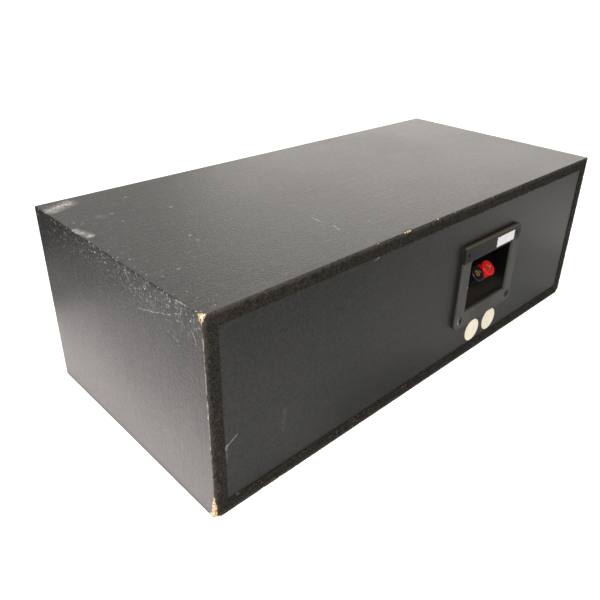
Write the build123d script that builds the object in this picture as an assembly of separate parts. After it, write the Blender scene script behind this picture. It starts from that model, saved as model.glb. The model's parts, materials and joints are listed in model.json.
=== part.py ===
from build123d import *

import math
import os

# A closed-box center channel speaker in millimetres: X along its length, -Y the front it plays from,
# +Y the rear with the terminal cup, +Z up, origin at the middle of the underside.

# Cabinet: one vinyl-faced board folded round four V-grooves, with a panel let into each end rebate
cabinet_width = 450.0
cabinet_depth = 208.0
cabinet_height = 148.0
board_thickness = 15.0
rebate_width = 5.0
fold_radius = 0.8
panel_fit = 0.15
rear_panel_thickness = 12.0
rear_panel_recess = 0.6
baffle_thickness = 15.0
grille_recess = 17.0

# Knocked corners, as (end, front or rear, bottom or top) and how far each is worn in on its diagonal
worn_corners = [
    ((1, 1, -1), 2.1),
    ((1, 1, 1), 1.3),
    ((-1, 1, -1), 2.4),
    ((1, -1, -1), 0.9),
    ((-1, -1, 1), 0.8),
]

# Wadding stapled under the top panel
wadding_length = 360.0
wadding_width = 110.0
wadding_thickness = 18.0
wadding_y = 20.0
wadding_roll = 6.0
staple_gap = 0.2

# Terminal cup: a screwed plate with a recess whose sloped wall carries the binding posts
plate_x = -63.0
plate_z = 75.0
plate_width = 86.0
plate_height = 76.4
plate_thickness = 3.0
plate_corner = 4.0
plate_edge_round = 0.8
recess_width = 64.5
recess_height = 47.7
recess_depth = 38.0
recess_floor = 7.5
recess_corner = 2.5
slope_angle = 45.0
cup_wall = 2.5
cup_gap = 1.0
cutout_corner = 2.5
terminal_gasket_thickness = 1.0
gasket_inset = 1.0
terminal_screw_pitch_x = 74.5
terminal_screw_pitch_z = 61.2
terminal_screw_radius = 1.75
terminal_screw_head_radius = 3.6
terminal_screw_length = 14.0
screw_fit = 0.1
screw_hole_gap = 0.25

# Binding posts, measured along the post from the sloped wall
post_pitch = 16.5
post_up_slope = 18.2
bush_radius = 6.4
bush_height = 4.0
bush_neck_radius = 4.0
stud_tail_radius = 2.0
stud_tail_length = 14.0
stud_flange_radius = 5.5
stud_flange_thickness = 1.2
stud_radius = 2.8
stud_length = 19.0
plug_bore_radius = 2.05
plug_bore_depth = 10.0
wire_hole_radius = 1.1
wire_hole_height = 7.2
clamp_gap = 0.3
clamp_washer_radius = 5.8
clamp_washer_thickness = 1.0
cap_radius = 6.9
cap_length = 13.2
cap_chamfer = 0.6
cap_flutes = 10
cap_flute_radius = 1.2
cap_flute_depth = 0.5
cap_plain_rim = 2.4
thread_gap = 0.15
tag_thickness = 0.8
tag_radius = 4.0
tag_length = 10.5
tag_width = 4.0
tag_seat_gap = 0.2
nut_across_flats = 7.0
nut_thickness = 3.2

# Bare label on the plate and paper dots on the rear panel
label_width = 27.2
label_height = 8.8
label_from_centre = 18.0
label_above_recess = 1.6
label_thickness = 0.15
dot_radius = 10.4
dot_thickness = 0.15
dot_places = [(-55.0, 22.4), (-81.7, 23.1)]

# Drivers in the baffle
driver_gap = 28.0
driver_gasket_thickness = 1.0
driver_screw_radius = 1.5
driver_screw_head_radius = 3.3
driver_screw_head_height = 1.9
driver_screw_length = 14.0
driver_screw_edge = 3.7
driver_screw_count = 4
cutout_gap = 0.8
glue_gap = 0.3
magnetic_gap = 0.4

# Woofer, with depths behind the face of the baffle
woofer_diameter = 106.0
woofer_flange_width = 10.0
woofer_flange_thickness = 1.6
basket_wall = 1.2
basket_depth = 28.0
basket_window_width = 28.0
basket_window_top = 4.5
basket_window_bottom = 15.0
basket_windows = 4
spider_seat_depth = 18.0
spider_seat_outer = 34.0
spider_seat_inner = 28.0
spider_thickness = 0.6
spider_wave = 1.2
spider_waves = 3
surround_lip = 2.5
surround_roll_width = 7.0
surround_inner_lip = 3.0
surround_thickness = 0.8
roll_facets = 6
cone_thickness = 1.0
cone_depth = 14.0
coil_radius = 12.4
former_thickness = 0.5
former_length = 27.5
winding_thickness = 0.6
winding_length = 8.5
dust_cap_radius = 16.0
dust_cap_rise = 6.5
dust_cap_thickness = 0.7
top_plate_radius = 32.0
top_plate_thickness = 5.0
magnet_radius = 35.0
magnet_bore = 16.0
magnet_thickness = 12.0
yoke_thickness = 5.0
rear_magnet_radius = 32.0
rear_magnet_bore = 10.0
rear_magnet_thickness = 8.0
can_thickness = 0.8
can_gap = 1.0
can_length = 25.0
driver_tag_width = 5.0
driver_tag_length = 9.0
driver_tag_thickness = 0.8
driver_tag_spread = 7.0
driver_tag_drop = 21.0

# Tweeter
tweeter_diameter = 94.0
tweeter_flange_thickness = 3.5
tweeter_dish_radius = 38.0
tweeter_boss_radius = 36.0
tweeter_boss_depth = 2.0
tweeter_throat = 17.5
tweeter_throat_height = 1.8
dome_radius = 12.6
dome_rise = 5.0
dome_wall = 0.5
dome_roll_width = 2.6
tweeter_coil_thickness = 0.4
tweeter_coil_length = 5.0
tweeter_plate_thickness = 4.0
tweeter_magnet_radius = 35.0
tweeter_magnet_thickness = 10.0
tweeter_yoke_thickness = 4.0

# Crossover on the bottom panel
crossover_x = 60.0
crossover_y = 34.0
crossover_length = 90.0
crossover_width = 60.0
crossover_thickness = 2.0
crossover_screw_inset = 4.5
crossover_screw_radius = 1.4
crossover_screw_head_radius = 2.8
crossover_screw_head_height = 1.8
crossover_screw_length = 10.0
coil_place = (24.0, 8.0)
bobbin_radius = 16.0
bobbin_hub_radius = 8.0
bobbin_bore_radius = 5.0
bobbin_flange = 1.5
bobbin_height = 20.0
winding_fit = 0.1
winding_margin = 1.0
capacitor_places = [(-18.0, 18.0), (-18.0, 0.0)]
capacitor_radius = 6.5
capacitor_length = 28.0
capacitor_chamfer = 1.0
resistor_place = (-16.0, -16.0)
resistor_size = (24.0, 9.0, 9.0)
part_gap = 0.2

# Inner wiring, each route a list of chosen points
input_lead_diameter = 2.0
driver_lead_diameter = 3.0
red_lead_route = [
    (-80.5, 84.7, 60.1),
    (-80.5, 76.0, 51.4),
    (-68.0, 63.0, 33.0),
    (-38.0, 55.0, 23.0),
    (-8.0, 52.0, 25.0),
    (20.0, 50.0, 31.0),
    (20.0, 50.0, 17.2),
]
black_lead_route = [
    (-45.6, 84.7, 60.1),
    (-45.6, 76.0, 51.4),
    (-39.0, 63.0, 36.0),
    (-14.0, 47.0, 25.0),
    (20.0, 40.0, 31.0),
    (20.0, 40.0, 17.2),
]
left_woofer_route = [
    (30.0, 8.5, 17.2),
    (30.0, 8.5, 28.0),
    (-4.0, -2.0, 23.0),
    (-48.0, -11.0, 19.0),
    (-92.0, -22.0, 18.5),
    (-119.0, -42.0, 19.0),
    (-128.0, -64.0, 21.0),
    (-128.0, -67.4, 34.3),
]
right_woofer_route = [
    (88.0, 8.5, 17.2),
    (88.0, 8.5, 28.0),
    (112.0, -10.0, 21.0),
    (124.0, -38.0, 19.0),
    (128.0, -64.0, 21.0),
    (128.0, -67.4, 34.3),
]
tweeter_route = [
    (62.0, 8.5, 17.2),
    (62.0, 8.5, 28.0),
    (34.0, -14.0, 25.0),
    (8.0, -30.0, 32.0),
    (0.0, -44.0, 52.0),
    (0.0, -57.7, 53.0),
]
arc_share = 0.45

# Grille: a frame of bars with pegs, cloth stretched over it, sockets in the baffle
grille_gap = 1.0
grille_inset = 0.5
cloth_thickness = 0.8
cloth_fit = 0.1
grille_corner = 4.0
grille_bevel = 2.0
grille_frame_thickness = 9.0
grille_bar = 12.0
grille_rib = 8.0
peg_radius = 2.5
peg_length = 10.0
peg_boss_radius = 4.5
socket_gap = 0.3
socket_wall = 1.4
socket_lip_radius = 6.0
socket_lip_thickness = 1.0
socket_floor = 1.0

# Places that follow from the sizes above
edge_width = board_thickness - rebate_width
opening_width = cabinet_width - 2 * edge_width
opening_height = cabinet_height - 2 * edge_width
middle_z = cabinet_height / 2
front_y = -cabinet_depth / 2
baffle_y = front_y + grille_recess
panel_y = cabinet_depth / 2 - rear_panel_recess
panel_inner_y = panel_y - rear_panel_thickness
plate_back_y = panel_y + terminal_gasket_thickness
plate_front_y = plate_back_y + plate_thickness
woofer_x = tweeter_diameter / 2 + driver_gap + woofer_diameter / 2
terminal_screw_places = [
    (sx * terminal_screw_pitch_x / 2, sz * terminal_screw_pitch_z / 2)
    for sx in (-1, 1)
    for sz in (-1, 1)
]
cutout_width = recess_width + 2 * (cup_wall + cup_gap)
cutout_height = recess_height + 2 * (cup_wall + cup_gap)
basket_mouth = woofer_diameter / 2 - woofer_flange_width
woofer_cutout = basket_mouth + basket_wall + cutout_gap
tweeter_cutout = tweeter_boss_radius + cutout_gap
slope = math.radians(slope_angle)


def from_front(x, y, z):
    """Plane that faces the listener: its own X is +X, its Y is up and its Z points out of the front."""
    return Plane(origin=(x, y, z), x_dir=(1, 0, 0), z_dir=(0, -1, 0))


def from_rear(x, y, z):
    """Plane that faces backwards: its own X is -X, its Y is up and its Z points out of the rear."""
    return Plane(origin=(x, y, z), x_dir=(-1, 0, 0), z_dir=(0, 1, 0))


def turned(*profile):
    """Solid of revolution about Z from a closed profile of (radius, height) points."""
    return revolve(Plane.XZ * make_face(Polyline(*profile, close=True)), Axis.Z)


def ring(outer, inner, low, high):
    """Flat ring, or tube, between two heights."""
    return turned((inner, low), (outer, low), (outer, high), (inner, high))


def disc(radius, low, high):
    """Plain cylinder between two heights."""
    return Pos(0, 0, low) * Cylinder(radius, high - low, align=(Align.CENTER, Align.CENTER, Align.MIN))


def ring_places(radius, count):
    """Points evenly spaced on a circle, the first half a step round from +X."""
    step = 2 * math.pi / count
    return [(radius * math.cos((i + 0.5) * step), radius * math.sin((i + 0.5) * step)) for i in range(count)]


def crown_arc(rim_radius, base, rise):
    """Quarter of a spherical crown's section, from its rim to its top on the axis."""
    sphere = (rim_radius**2 + rise**2) / (2 * rise)
    half = math.asin(min(1.0, rim_radius / sphere)) / 2
    middle = (sphere * math.sin(half), base + rise - sphere + sphere * math.cos(half))
    return ThreePointArc((rim_radius, base), middle, (0, base + rise))


def half_roll(start, end, base, rise):
    """Points of a half-ellipse over a gap, from its start radius to its end radius."""
    middle, half = (start + end) / 2, (start - end) / 2
    angles = [math.pi * i / roll_facets for i in range(roll_facets + 1)]
    return [(middle + half * math.cos(a), base + rise * math.sin(a)) for a in angles]


def wire(points, diameter):
    """Round lead along straight runs, each corner rounded as widely as its shorter run allows."""
    spots = [Vector(*point) for point in points]
    runs = [b - a for a, b in zip(spots, spots[1:])]
    radii = []
    for before, after in zip(runs, runs[1:]):
        turn = math.radians(before.get_angle(after))
        radii.append(arc_share * min(before.length, after.length) / math.tan(turn / 2))
    path = FilletPolyline(*points, radius=radii)
    return sweep(Plane(origin=points[0], z_dir=path % 0) * Circle(diameter / 2), path=path)


def cabinet_wrap():
    """Folded board tube, rebated at both ends, with its outer folds eased and its corners knocked."""
    solid = Pos(0, 0, middle_z) * Box(cabinet_width, cabinet_depth, cabinet_height)
    solid = fillet(solid.edges().filter_by(Axis.Y), fold_radius)
    bore = Box(cabinet_width - 2 * board_thickness, cabinet_depth, cabinet_height - 2 * board_thickness)
    solid -= Pos(0, 0, middle_z) * bore
    mouth = Rectangle(opening_width, opening_height)
    solid -= extrude(from_front(0, front_y, middle_z) * mouth, -(grille_recess + baffle_thickness))
    rear_rebate = rear_panel_recess + rear_panel_thickness
    solid -= extrude(from_rear(0, cabinet_depth / 2, middle_z) * mouth, -rear_rebate)
    for x, y in crossover_screw_places():
        pilot = disc(crossover_screw_radius + screw_fit, crossover_screw_tip(), board_thickness)
        solid -= Pos(x, y, 0) * pilot
    for (end, face, level), depth in worn_corners:
        corner = Vector(end * cabinet_width / 2, face * cabinet_depth / 2, middle_z * (1 + level))
        diagonal = Vector(end, face, level).normalized()
        reach = 6 * depth
        chip = Box(reach, reach, reach, align=(Align.CENTER, Align.CENTER, Align.MIN))
        solid -= Plane(origin=corner - diagonal * depth, z_dir=diagonal) * chip
    return solid


def rear_panel():
    """Inset rear board with the terminal cut-out and its pilot holes."""
    outline = Rectangle(opening_width - 2 * panel_fit, opening_height - 2 * panel_fit)
    solid = extrude(from_rear(0, panel_inner_y, middle_z) * outline, rear_panel_thickness)
    hole = RectangleRounded(cutout_width, cutout_height, cutout_corner)
    solid -= extrude(from_rear(plate_x, panel_inner_y, plate_z) * hole, rear_panel_thickness)
    depth = terminal_screw_length - plate_thickness - terminal_gasket_thickness + screw_hole_gap
    for x, z in terminal_screw_places:
        pilot = disc(terminal_screw_radius + screw_fit, -depth, 0)
        solid -= from_rear(plate_x, panel_y, plate_z) * (Pos(x, z) * pilot)
    return solid


def front_baffle():
    """Baffle board with its three driver cut-outs, screw pilots and grille-socket holes."""
    outline = Rectangle(opening_width - 2 * panel_fit, opening_height - 2 * panel_fit)
    face = from_front(0, baffle_y, middle_z)
    solid = extrude(face * outline, -baffle_thickness)
    pilot = disc(driver_screw_radius + screw_fit, -driver_screw_length, 0)
    for x, cutout, diameter in driver_places():
        solid -= face * (Pos(x, 0) * disc(cutout, -baffle_thickness, 0))
        for u, v in ring_places(diameter / 2 - driver_screw_edge, driver_screw_count):
            solid -= face * (Pos(x + u, v) * pilot)
    for x, z in peg_places():
        solid -= face * (Pos(x, z) * disc(socket_radius() + screw_fit, -socket_depth(), 0))
    return solid


def wadding_mat():
    """Soft mat with rounded edges, held under the top panel."""
    top = cabinet_height - board_thickness - staple_gap
    mat = Box(wadding_length, wadding_width, wadding_thickness)
    mat = fillet(mat.edges().filter_by(Axis.Z), wadding_roll)
    mat = fillet(mat.edges().group_by(Axis.Z)[0], wadding_roll)
    return Pos(0, wadding_y, top - wadding_thickness / 2) * mat


def recess_profile():
    """Section of the recess: short floor, sloped wall rising inwards, then an upright back wall."""
    low = plate_z - recess_height / 2
    high = plate_z + recess_height / 2
    back = plate_front_y - recess_depth
    foot = plate_front_y - recess_floor
    knee = low + (foot - back) * math.tan(slope)
    mouth = plate_front_y + cup_wall
    return make_face(
        Polyline((mouth, low), (foot, low), (back, knee), (back, high), (mouth, high), close=True)
    )


def terminal_cup():
    """Moulded plate and recess in one piece, drilled for the posts and countersunk for its screws."""
    side = Plane(origin=(plate_x, 0, 0), x_dir=(0, 1, 0), z_dir=(1, 0, 0))
    section = recess_profile()
    hollow = extrude(side * section, recess_width / 2, both=True)
    hollow = fillet(hollow.edges().filter_by(Axis.Y).group_by(Axis.Z)[-1], recess_corner)
    shell = offset(section, cup_wall, kind=Kind.INTERSECTION)
    body = extrude(side * shell, recess_width / 2 + cup_wall, both=True)
    body = split(body, Plane(origin=(0, plate_back_y, 0), z_dir=(0, -1, 0)))
    outline = RectangleRounded(plate_width, plate_height, plate_corner)
    plate = extrude(from_rear(plate_x, plate_back_y, plate_z) * outline, plate_thickness)
    plate = fillet(plate.faces().sort_by(Axis.Y)[-1].edges(), plate_edge_round)
    solid = body + plate - hollow
    for x, z in terminal_screw_places:
        radius = terminal_screw_radius + screw_hole_gap
        head = terminal_screw_head_radius + screw_hole_gap
        hole = disc(radius, -plate_thickness, 0) + turned((0, 0), (head, 0), (0, -head))
        solid -= from_rear(plate_x, plate_front_y, plate_z) * (Pos(x, z) * hole)
    for place in post_planes().values():
        solid -= place * disc(bush_neck_radius + thread_gap, -2 * cup_wall, cup_wall)
    return solid


def terminal_gasket():
    """Foam frame under the plate."""
    outline = RectangleRounded(
        plate_width - 2 * gasket_inset, plate_height - 2 * gasket_inset, plate_corner - gasket_inset
    )
    outline -= RectangleRounded(cutout_width, cutout_height, cutout_corner)
    for x, z in terminal_screw_places:
        outline -= Pos(x, z) * Circle(terminal_screw_radius + screw_hole_gap)
    return extrude(from_rear(plate_x, panel_y, plate_z) * outline, terminal_gasket_thickness)


def terminal_screws():
    """Four countersunk screws, heads just below the face of the plate."""
    head = terminal_screw_head_radius
    shank = terminal_screw_radius
    profile = [
        (0, 0),
        (head, 0),
        (shank, shank - head),
        (shank, 2 * shank - terminal_screw_length),
        (0, -terminal_screw_length),
    ]
    screw = Pos(0, 0, -screw_fit) * turned(*profile)
    face = from_rear(plate_x, plate_front_y, plate_z)
    return [face * (Pos(x, z) * screw) for x, z in terminal_screw_places]


def post_planes():
    """The red and black post's frame: origin on the sloped wall, Z out along the post."""
    foot_z = plate_z - recess_height / 2
    foot_y = plate_front_y - recess_floor
    y = foot_y - post_up_slope * math.cos(slope)
    z = foot_z + post_up_slope * math.sin(slope)
    axis = (0, math.sin(slope), math.cos(slope))
    return {
        colour: Plane(origin=(plate_x + side * post_pitch / 2, y, z), x_dir=(side, 0, 0), z_dir=axis)
        for colour, side in (("red", -1), ("black", 1))
    }


def post_stud():
    """Turned stud: threaded tail, flange, and a body bored for a plug and cross-drilled for wire."""
    shoulder = bush_height + stud_flange_thickness
    stud = turned(
        (0, -stud_tail_length),
        (stud_tail_radius, -stud_tail_length),
        (stud_tail_radius, bush_height),
        (stud_flange_radius, bush_height),
        (stud_flange_radius, shoulder),
        (stud_radius, shoulder),
        (stud_radius, stud_length),
        (plug_bore_radius, stud_length),
        (plug_bore_radius, stud_length - plug_bore_depth),
        (0, stud_length - plug_bore_depth),
    )
    hole = Cylinder(wire_hole_radius, 4 * stud_radius, rotation=(0, 90, 0))
    return stud - Pos(0, 0, wire_hole_height) * hole


def post_bush():
    """Coloured collar with a neck through the wall of the cup."""
    return turned(
        (stud_tail_radius + thread_gap, -cup_wall),
        (bush_neck_radius, -cup_wall),
        (bush_neck_radius, 0),
        (bush_radius, 0),
        (bush_radius, bush_height),
        (stud_tail_radius + thread_gap, bush_height),
    )


def clamp_washer():
    """Loose washer that the cap presses on the wire."""
    low = bush_height + stud_flange_thickness + clamp_gap
    return ring(clamp_washer_radius, stud_radius + thread_gap, low, low + clamp_washer_thickness)


def post_cap():
    """Screw-down cap, open at its end, with a fluted grip below a plain rim."""
    low = bush_height + stud_flange_thickness + 2 * clamp_gap + clamp_washer_thickness
    high = low + cap_length
    cap = turned(
        (stud_radius + thread_gap, low),
        (cap_radius, low),
        (cap_radius, high - cap_chamfer),
        (cap_radius - cap_chamfer, high),
        (stud_radius + thread_gap, high),
    )
    flute = disc(cap_flute_radius, low - cap_chamfer, high - cap_plain_rim)
    reach = cap_radius + cap_flute_radius - cap_flute_depth
    for x, y in ring_places(reach, cap_flutes):
        cap -= Pos(x, y) * flute
    return cap


def solder_tag():
    """Ring tag with a blade, clamped on the tail by the nut."""
    low = -cup_wall - tag_seat_gap - tag_thickness
    outline = Circle(tag_radius) + Pos(tag_length / 2, 0) * Rectangle(tag_length, tag_width)
    outline -= Circle(stud_tail_radius + thread_gap)
    return extrude(Pos(0, 0, low) * outline, tag_thickness)


def post_nut():
    """Hexagon nut behind the tag."""
    high = -cup_wall - 2 * tag_seat_gap - tag_thickness
    outline = RegularPolygon(nut_across_flats / 2, 6, major_radius=False)
    outline -= Circle(stud_tail_radius + thread_gap)
    return extrude(Pos(0, 0, high - nut_thickness) * outline, nut_thickness)


def plate_label():
    """Bare white label above the recess."""
    z = plate_z + recess_height / 2 + label_above_recess + label_height / 2
    face = from_rear(plate_x, plate_front_y, z)
    paper = Pos(label_from_centre, 0) * Rectangle(label_width, label_height)
    return extrude(face * paper, label_thickness)


def round_stickers():
    """Two paper dots below the terminal plate."""
    dot = disc(dot_radius, 0, dot_thickness)
    return [from_rear(x, panel_y, z) * dot for x, z in dot_places]


def driver_places():
    """Each driver's X, cut-out radius and flange diameter."""
    return [
        (-woofer_x, woofer_cutout, woofer_diameter),
        (0, tweeter_cutout, tweeter_diameter),
        (woofer_x, woofer_cutout, woofer_diameter),
    ]


def woofer_pieces():
    """Every piece of one woofer about its own axis: Z towards the listener, 0 at the baffle's face."""
    flange = woofer_diameter / 2
    low = driver_gasket_thickness
    top = low + woofer_flange_thickness
    back = -basket_depth
    winding = coil_radius + former_thickness + winding_thickness
    basket = turned(
        (flange, low),
        (flange, top),
        (basket_mouth, top),
        (spider_seat_outer, -spider_seat_depth),
        (spider_seat_inner, -spider_seat_depth),
        (spider_seat_inner - basket_wall, back + basket_wall),
        (winding + 2 * magnetic_gap, back + basket_wall),
        (winding + 2 * magnetic_gap, back),
        (spider_seat_inner, back),
        (spider_seat_inner + basket_wall, -spider_seat_depth - basket_wall),
        (spider_seat_outer + basket_wall, -spider_seat_depth - basket_wall),
        (basket_mouth + basket_wall, low),
    )
    window_height = basket_window_bottom - basket_window_top
    window = Pos(basket_mouth, 0, -basket_window_top - window_height / 2) * Box(
        basket_mouth, basket_window_width, window_height
    )
    for i in range(basket_windows):
        basket -= Rot(0, 0, i * 360 / basket_windows) * window
    for x, y in ring_places(flange - driver_screw_edge, driver_screw_count):
        basket -= Pos(x, y) * disc(driver_screw_radius + screw_hole_gap, 0, 2 * top)

    roll_in = basket_mouth - surround_roll_width
    crest = surround_roll_width / 2
    skin = top + surround_thickness
    surround = turned(
        (basket_mouth + surround_lip, top),
        (basket_mouth + surround_lip, skin),
        *half_roll(basket_mouth, roll_in, skin, crest),
        (roll_in - surround_inner_lip, skin),
        (roll_in - surround_inner_lip, top),
        *half_roll(roll_in + surround_thickness, basket_mouth - surround_thickness, top, crest),
    )

    rim = top - glue_gap
    rim_in = roll_in - surround_inner_lip
    neck = coil_radius + former_thickness + glue_gap
    cone = turned(
        (roll_in, rim - cone_thickness),
        (roll_in, rim),
        (rim_in, rim),
        (neck, rim - cone_depth),
        (neck, rim - cone_depth - cone_thickness),
        (rim_in, rim - cone_thickness),
    )
    fall = cone_depth / (rim_in - neck)
    cap_base = rim - (rim_in - dust_cap_radius) * fall + glue_gap
    dome = crown_arc(dust_cap_radius, cap_base, dust_cap_rise)
    dome += Line((0, cap_base + dust_cap_rise), (0, cap_base + dust_cap_rise - dust_cap_thickness))
    dome += crown_arc(dust_cap_radius - dust_cap_thickness, cap_base, dust_cap_rise - dust_cap_thickness)
    dome += Line((dust_cap_radius - dust_cap_thickness, cap_base), (dust_cap_radius, cap_base))
    dust_cap = revolve(Plane.XZ * make_face(dome), Axis.Z)

    former_top = rim - cone_depth + 2 * cone_thickness
    former_end = former_top - former_length
    former = coil_radius + former_thickness
    voice_coil = turned(
        (coil_radius, former_top),
        (former, former_top),
        (former, former_end + winding_length),
        (winding, former_end + winding_length),
        (winding, former_end),
        (coil_radius, former_end),
    )

    seat = -spider_seat_depth + part_gap
    hub = former + glue_gap
    lip = spider_seat_inner + basket_wall
    fold = (lip - hub) / (2 * spider_waves)
    heights = [seat + (spider_wave if i % 2 else 0) for i in range(2 * spider_waves + 1)]
    lower = [(hub + i * fold, heights[i]) for i in range(2 * spider_waves + 1)]
    lower.append((spider_seat_outer - basket_wall, seat))
    upper = [(r, z + spider_thickness) for r, z in reversed(lower)]
    spider = turned(*lower, *upper)

    plate_back = back - top_plate_thickness
    magnet_back = plate_back - magnet_thickness
    yoke_back = magnet_back - yoke_thickness
    rear_magnet_back = yoke_back - rear_magnet_thickness
    pole = coil_radius - magnetic_gap
    can = magnet_radius + can_gap
    can_back = rear_magnet_back - can_thickness
    return {
        "frame": [basket],
        "surround": [surround],
        "cone": [cone],
        "dust_cap": [dust_cap],
        "voice_coil": [voice_coil],
        "spider": [spider],
        "top_plate": [ring(top_plate_radius, winding + magnetic_gap, plate_back, back)],
        "magnets": [
            ring(magnet_radius, magnet_bore, magnet_back, plate_back),
            ring(rear_magnet_radius, rear_magnet_bore, rear_magnet_back, yoke_back),
        ],
        "yoke": [
            turned(
                (0, yoke_back),
                (top_plate_radius, yoke_back),
                (top_plate_radius, magnet_back),
                (pole, magnet_back),
                (pole, back),
                (0, back),
            )
        ],
        "shield_can": [
            turned(
                (0, can_back),
                (can + can_thickness, can_back),
                (can + can_thickness, can_back + can_length),
                (can, can_back + can_length),
                (can, rear_magnet_back),
                (0, rear_magnet_back),
            )
        ],
    }


def tweeter_pieces():
    """Every piece of the tweeter about its own axis, as for the woofers."""
    low = driver_gasket_thickness
    top = low + tweeter_flange_thickness
    seat = -tweeter_boss_depth
    faceplate = turned(
        (tweeter_diameter / 2, low),
        (tweeter_diameter / 2, top),
        (tweeter_dish_radius, top),
        (tweeter_throat, tweeter_throat_height),
        (tweeter_throat, seat),
        (tweeter_boss_radius, seat),
        (tweeter_boss_radius, low),
    )
    for x, y in ring_places(tweeter_diameter / 2 - driver_screw_edge, driver_screw_count):
        faceplate -= Pos(x, y) * disc(driver_screw_radius + screw_hole_gap, 0, 2 * top)

    base = seat + part_gap
    skin = base + dome_wall
    roll_in = dome_radius
    roll_out = dome_radius + dome_roll_width
    crest = dome_roll_width / 2
    rim = tweeter_throat - glue_gap
    section = crown_arc(roll_in, skin, dome_rise)
    section += Line((0, skin + dome_rise), (0, skin + dome_rise - dome_wall))
    section += crown_arc(roll_in - dome_wall, base, dome_rise)
    section += Polyline(
        (roll_in - dome_wall, base),
        *half_roll(roll_in + dome_wall / 2, roll_out, base, crest),
        (rim, base),
        (rim, skin),
        *half_roll(roll_out, roll_in, skin, crest),
    )
    dome = revolve(Plane.XZ * make_face(section), Axis.Z)

    coil_in = roll_in - dome_wall
    coil_out = coil_in + tweeter_coil_thickness
    coil = ring(coil_out, coil_in, base - glue_gap - tweeter_coil_length, base - glue_gap)
    plate_back = seat - tweeter_plate_thickness
    magnet_back = plate_back - tweeter_magnet_thickness
    yoke_back = magnet_back - tweeter_yoke_thickness
    pole = coil_in - magnetic_gap
    return {
        "faceplate": [faceplate],
        "dome": [dome],
        "voice_coil": [coil],
        "top_plate": [ring(top_plate_radius, coil_out + magnetic_gap, plate_back, seat)],
        "magnet": [ring(tweeter_magnet_radius, magnet_bore, magnet_back, plate_back)],
        "yoke": [
            turned(
                (0, yoke_back),
                (top_plate_radius, yoke_back),
                (top_plate_radius, magnet_back),
                (pole, magnet_back),
                (pole, seat),
                (0, seat),
            )
        ],
    }


def driver_gaskets():
    """Foam ring under each driver's flange."""
    face = from_front(0, baffle_y, middle_z)
    rings = []
    for x, cutout, diameter in driver_places():
        rings.append(face * (Pos(x, 0) * gasket_ring(cutout, diameter)))
    return rings


def gasket_ring(cutout, diameter):
    """One foam ring, holed for its driver's screws."""
    foam = ring(diameter / 2 - cutout_gap, cutout, 0, driver_gasket_thickness)
    for u, v in ring_places(diameter / 2 - driver_screw_edge, driver_screw_count):
        foam -= Pos(u, v) * disc(driver_screw_radius + screw_hole_gap, 0, driver_gasket_thickness)
    return foam


def driver_screws():
    """Pan-head screws of all three drivers."""
    face = from_front(0, baffle_y, middle_z)
    tops = [woofer_flange_thickness, tweeter_flange_thickness, woofer_flange_thickness]
    screws = []
    for (x, _, diameter), flange in zip(driver_places(), tops):
        seat = driver_gasket_thickness + flange
        screw = turned(
            (0, seat + driver_screw_head_height),
            (driver_screw_head_radius / 2, seat + driver_screw_head_height),
            (driver_screw_head_radius, seat),
            (driver_screw_radius, seat),
            (driver_screw_radius, screw_fit - driver_screw_length),
            (0, screw_fit - driver_screw_length),
        )
        for u, v in ring_places(diameter / 2 - driver_screw_edge, driver_screw_count):
            screws.append(face * (Pos(x + u, v) * screw))
    return screws


def driver_tags():
    """Solder blades in pairs: out from under each woofer's basket, and back off the tweeter's yoke."""
    face = from_front(0, baffle_y, middle_z)
    woofer_blade = Pos(
        0,
        -spider_seat_inner - 2 * basket_wall - driver_tag_length / 2,
        -spider_seat_depth - basket_wall - driver_tag_thickness / 2,
    ) * Box(driver_tag_width, driver_tag_length, driver_tag_thickness)
    motor = tweeter_plate_thickness + tweeter_magnet_thickness + tweeter_yoke_thickness
    yoke_back = -tweeter_boss_depth - motor
    tweeter_blade = Pos(0, -driver_tag_drop, yoke_back - driver_tag_length / 2) * Box(
        driver_tag_width, driver_tag_thickness, driver_tag_length
    )
    tags = []
    for x, blade in ((-woofer_x, woofer_blade), (0, tweeter_blade), (woofer_x, woofer_blade)):
        for side in (-1, 1):
            tags.append(face * (Pos(x + side * driver_tag_spread / 2, 0) * blade))
    return tags


def crossover_screw_places():
    """Corner screws of the crossover board."""
    reach_x = crossover_length / 2 - crossover_screw_inset
    reach_y = crossover_width / 2 - crossover_screw_inset
    return [(crossover_x + sx * reach_x, crossover_y + sy * reach_y) for sx in (-1, 1) for sy in (-1, 1)]


def crossover_screw_tip():
    """Height of the crossover screws' points inside the bottom panel."""
    return board_thickness + crossover_thickness - crossover_screw_length


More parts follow.
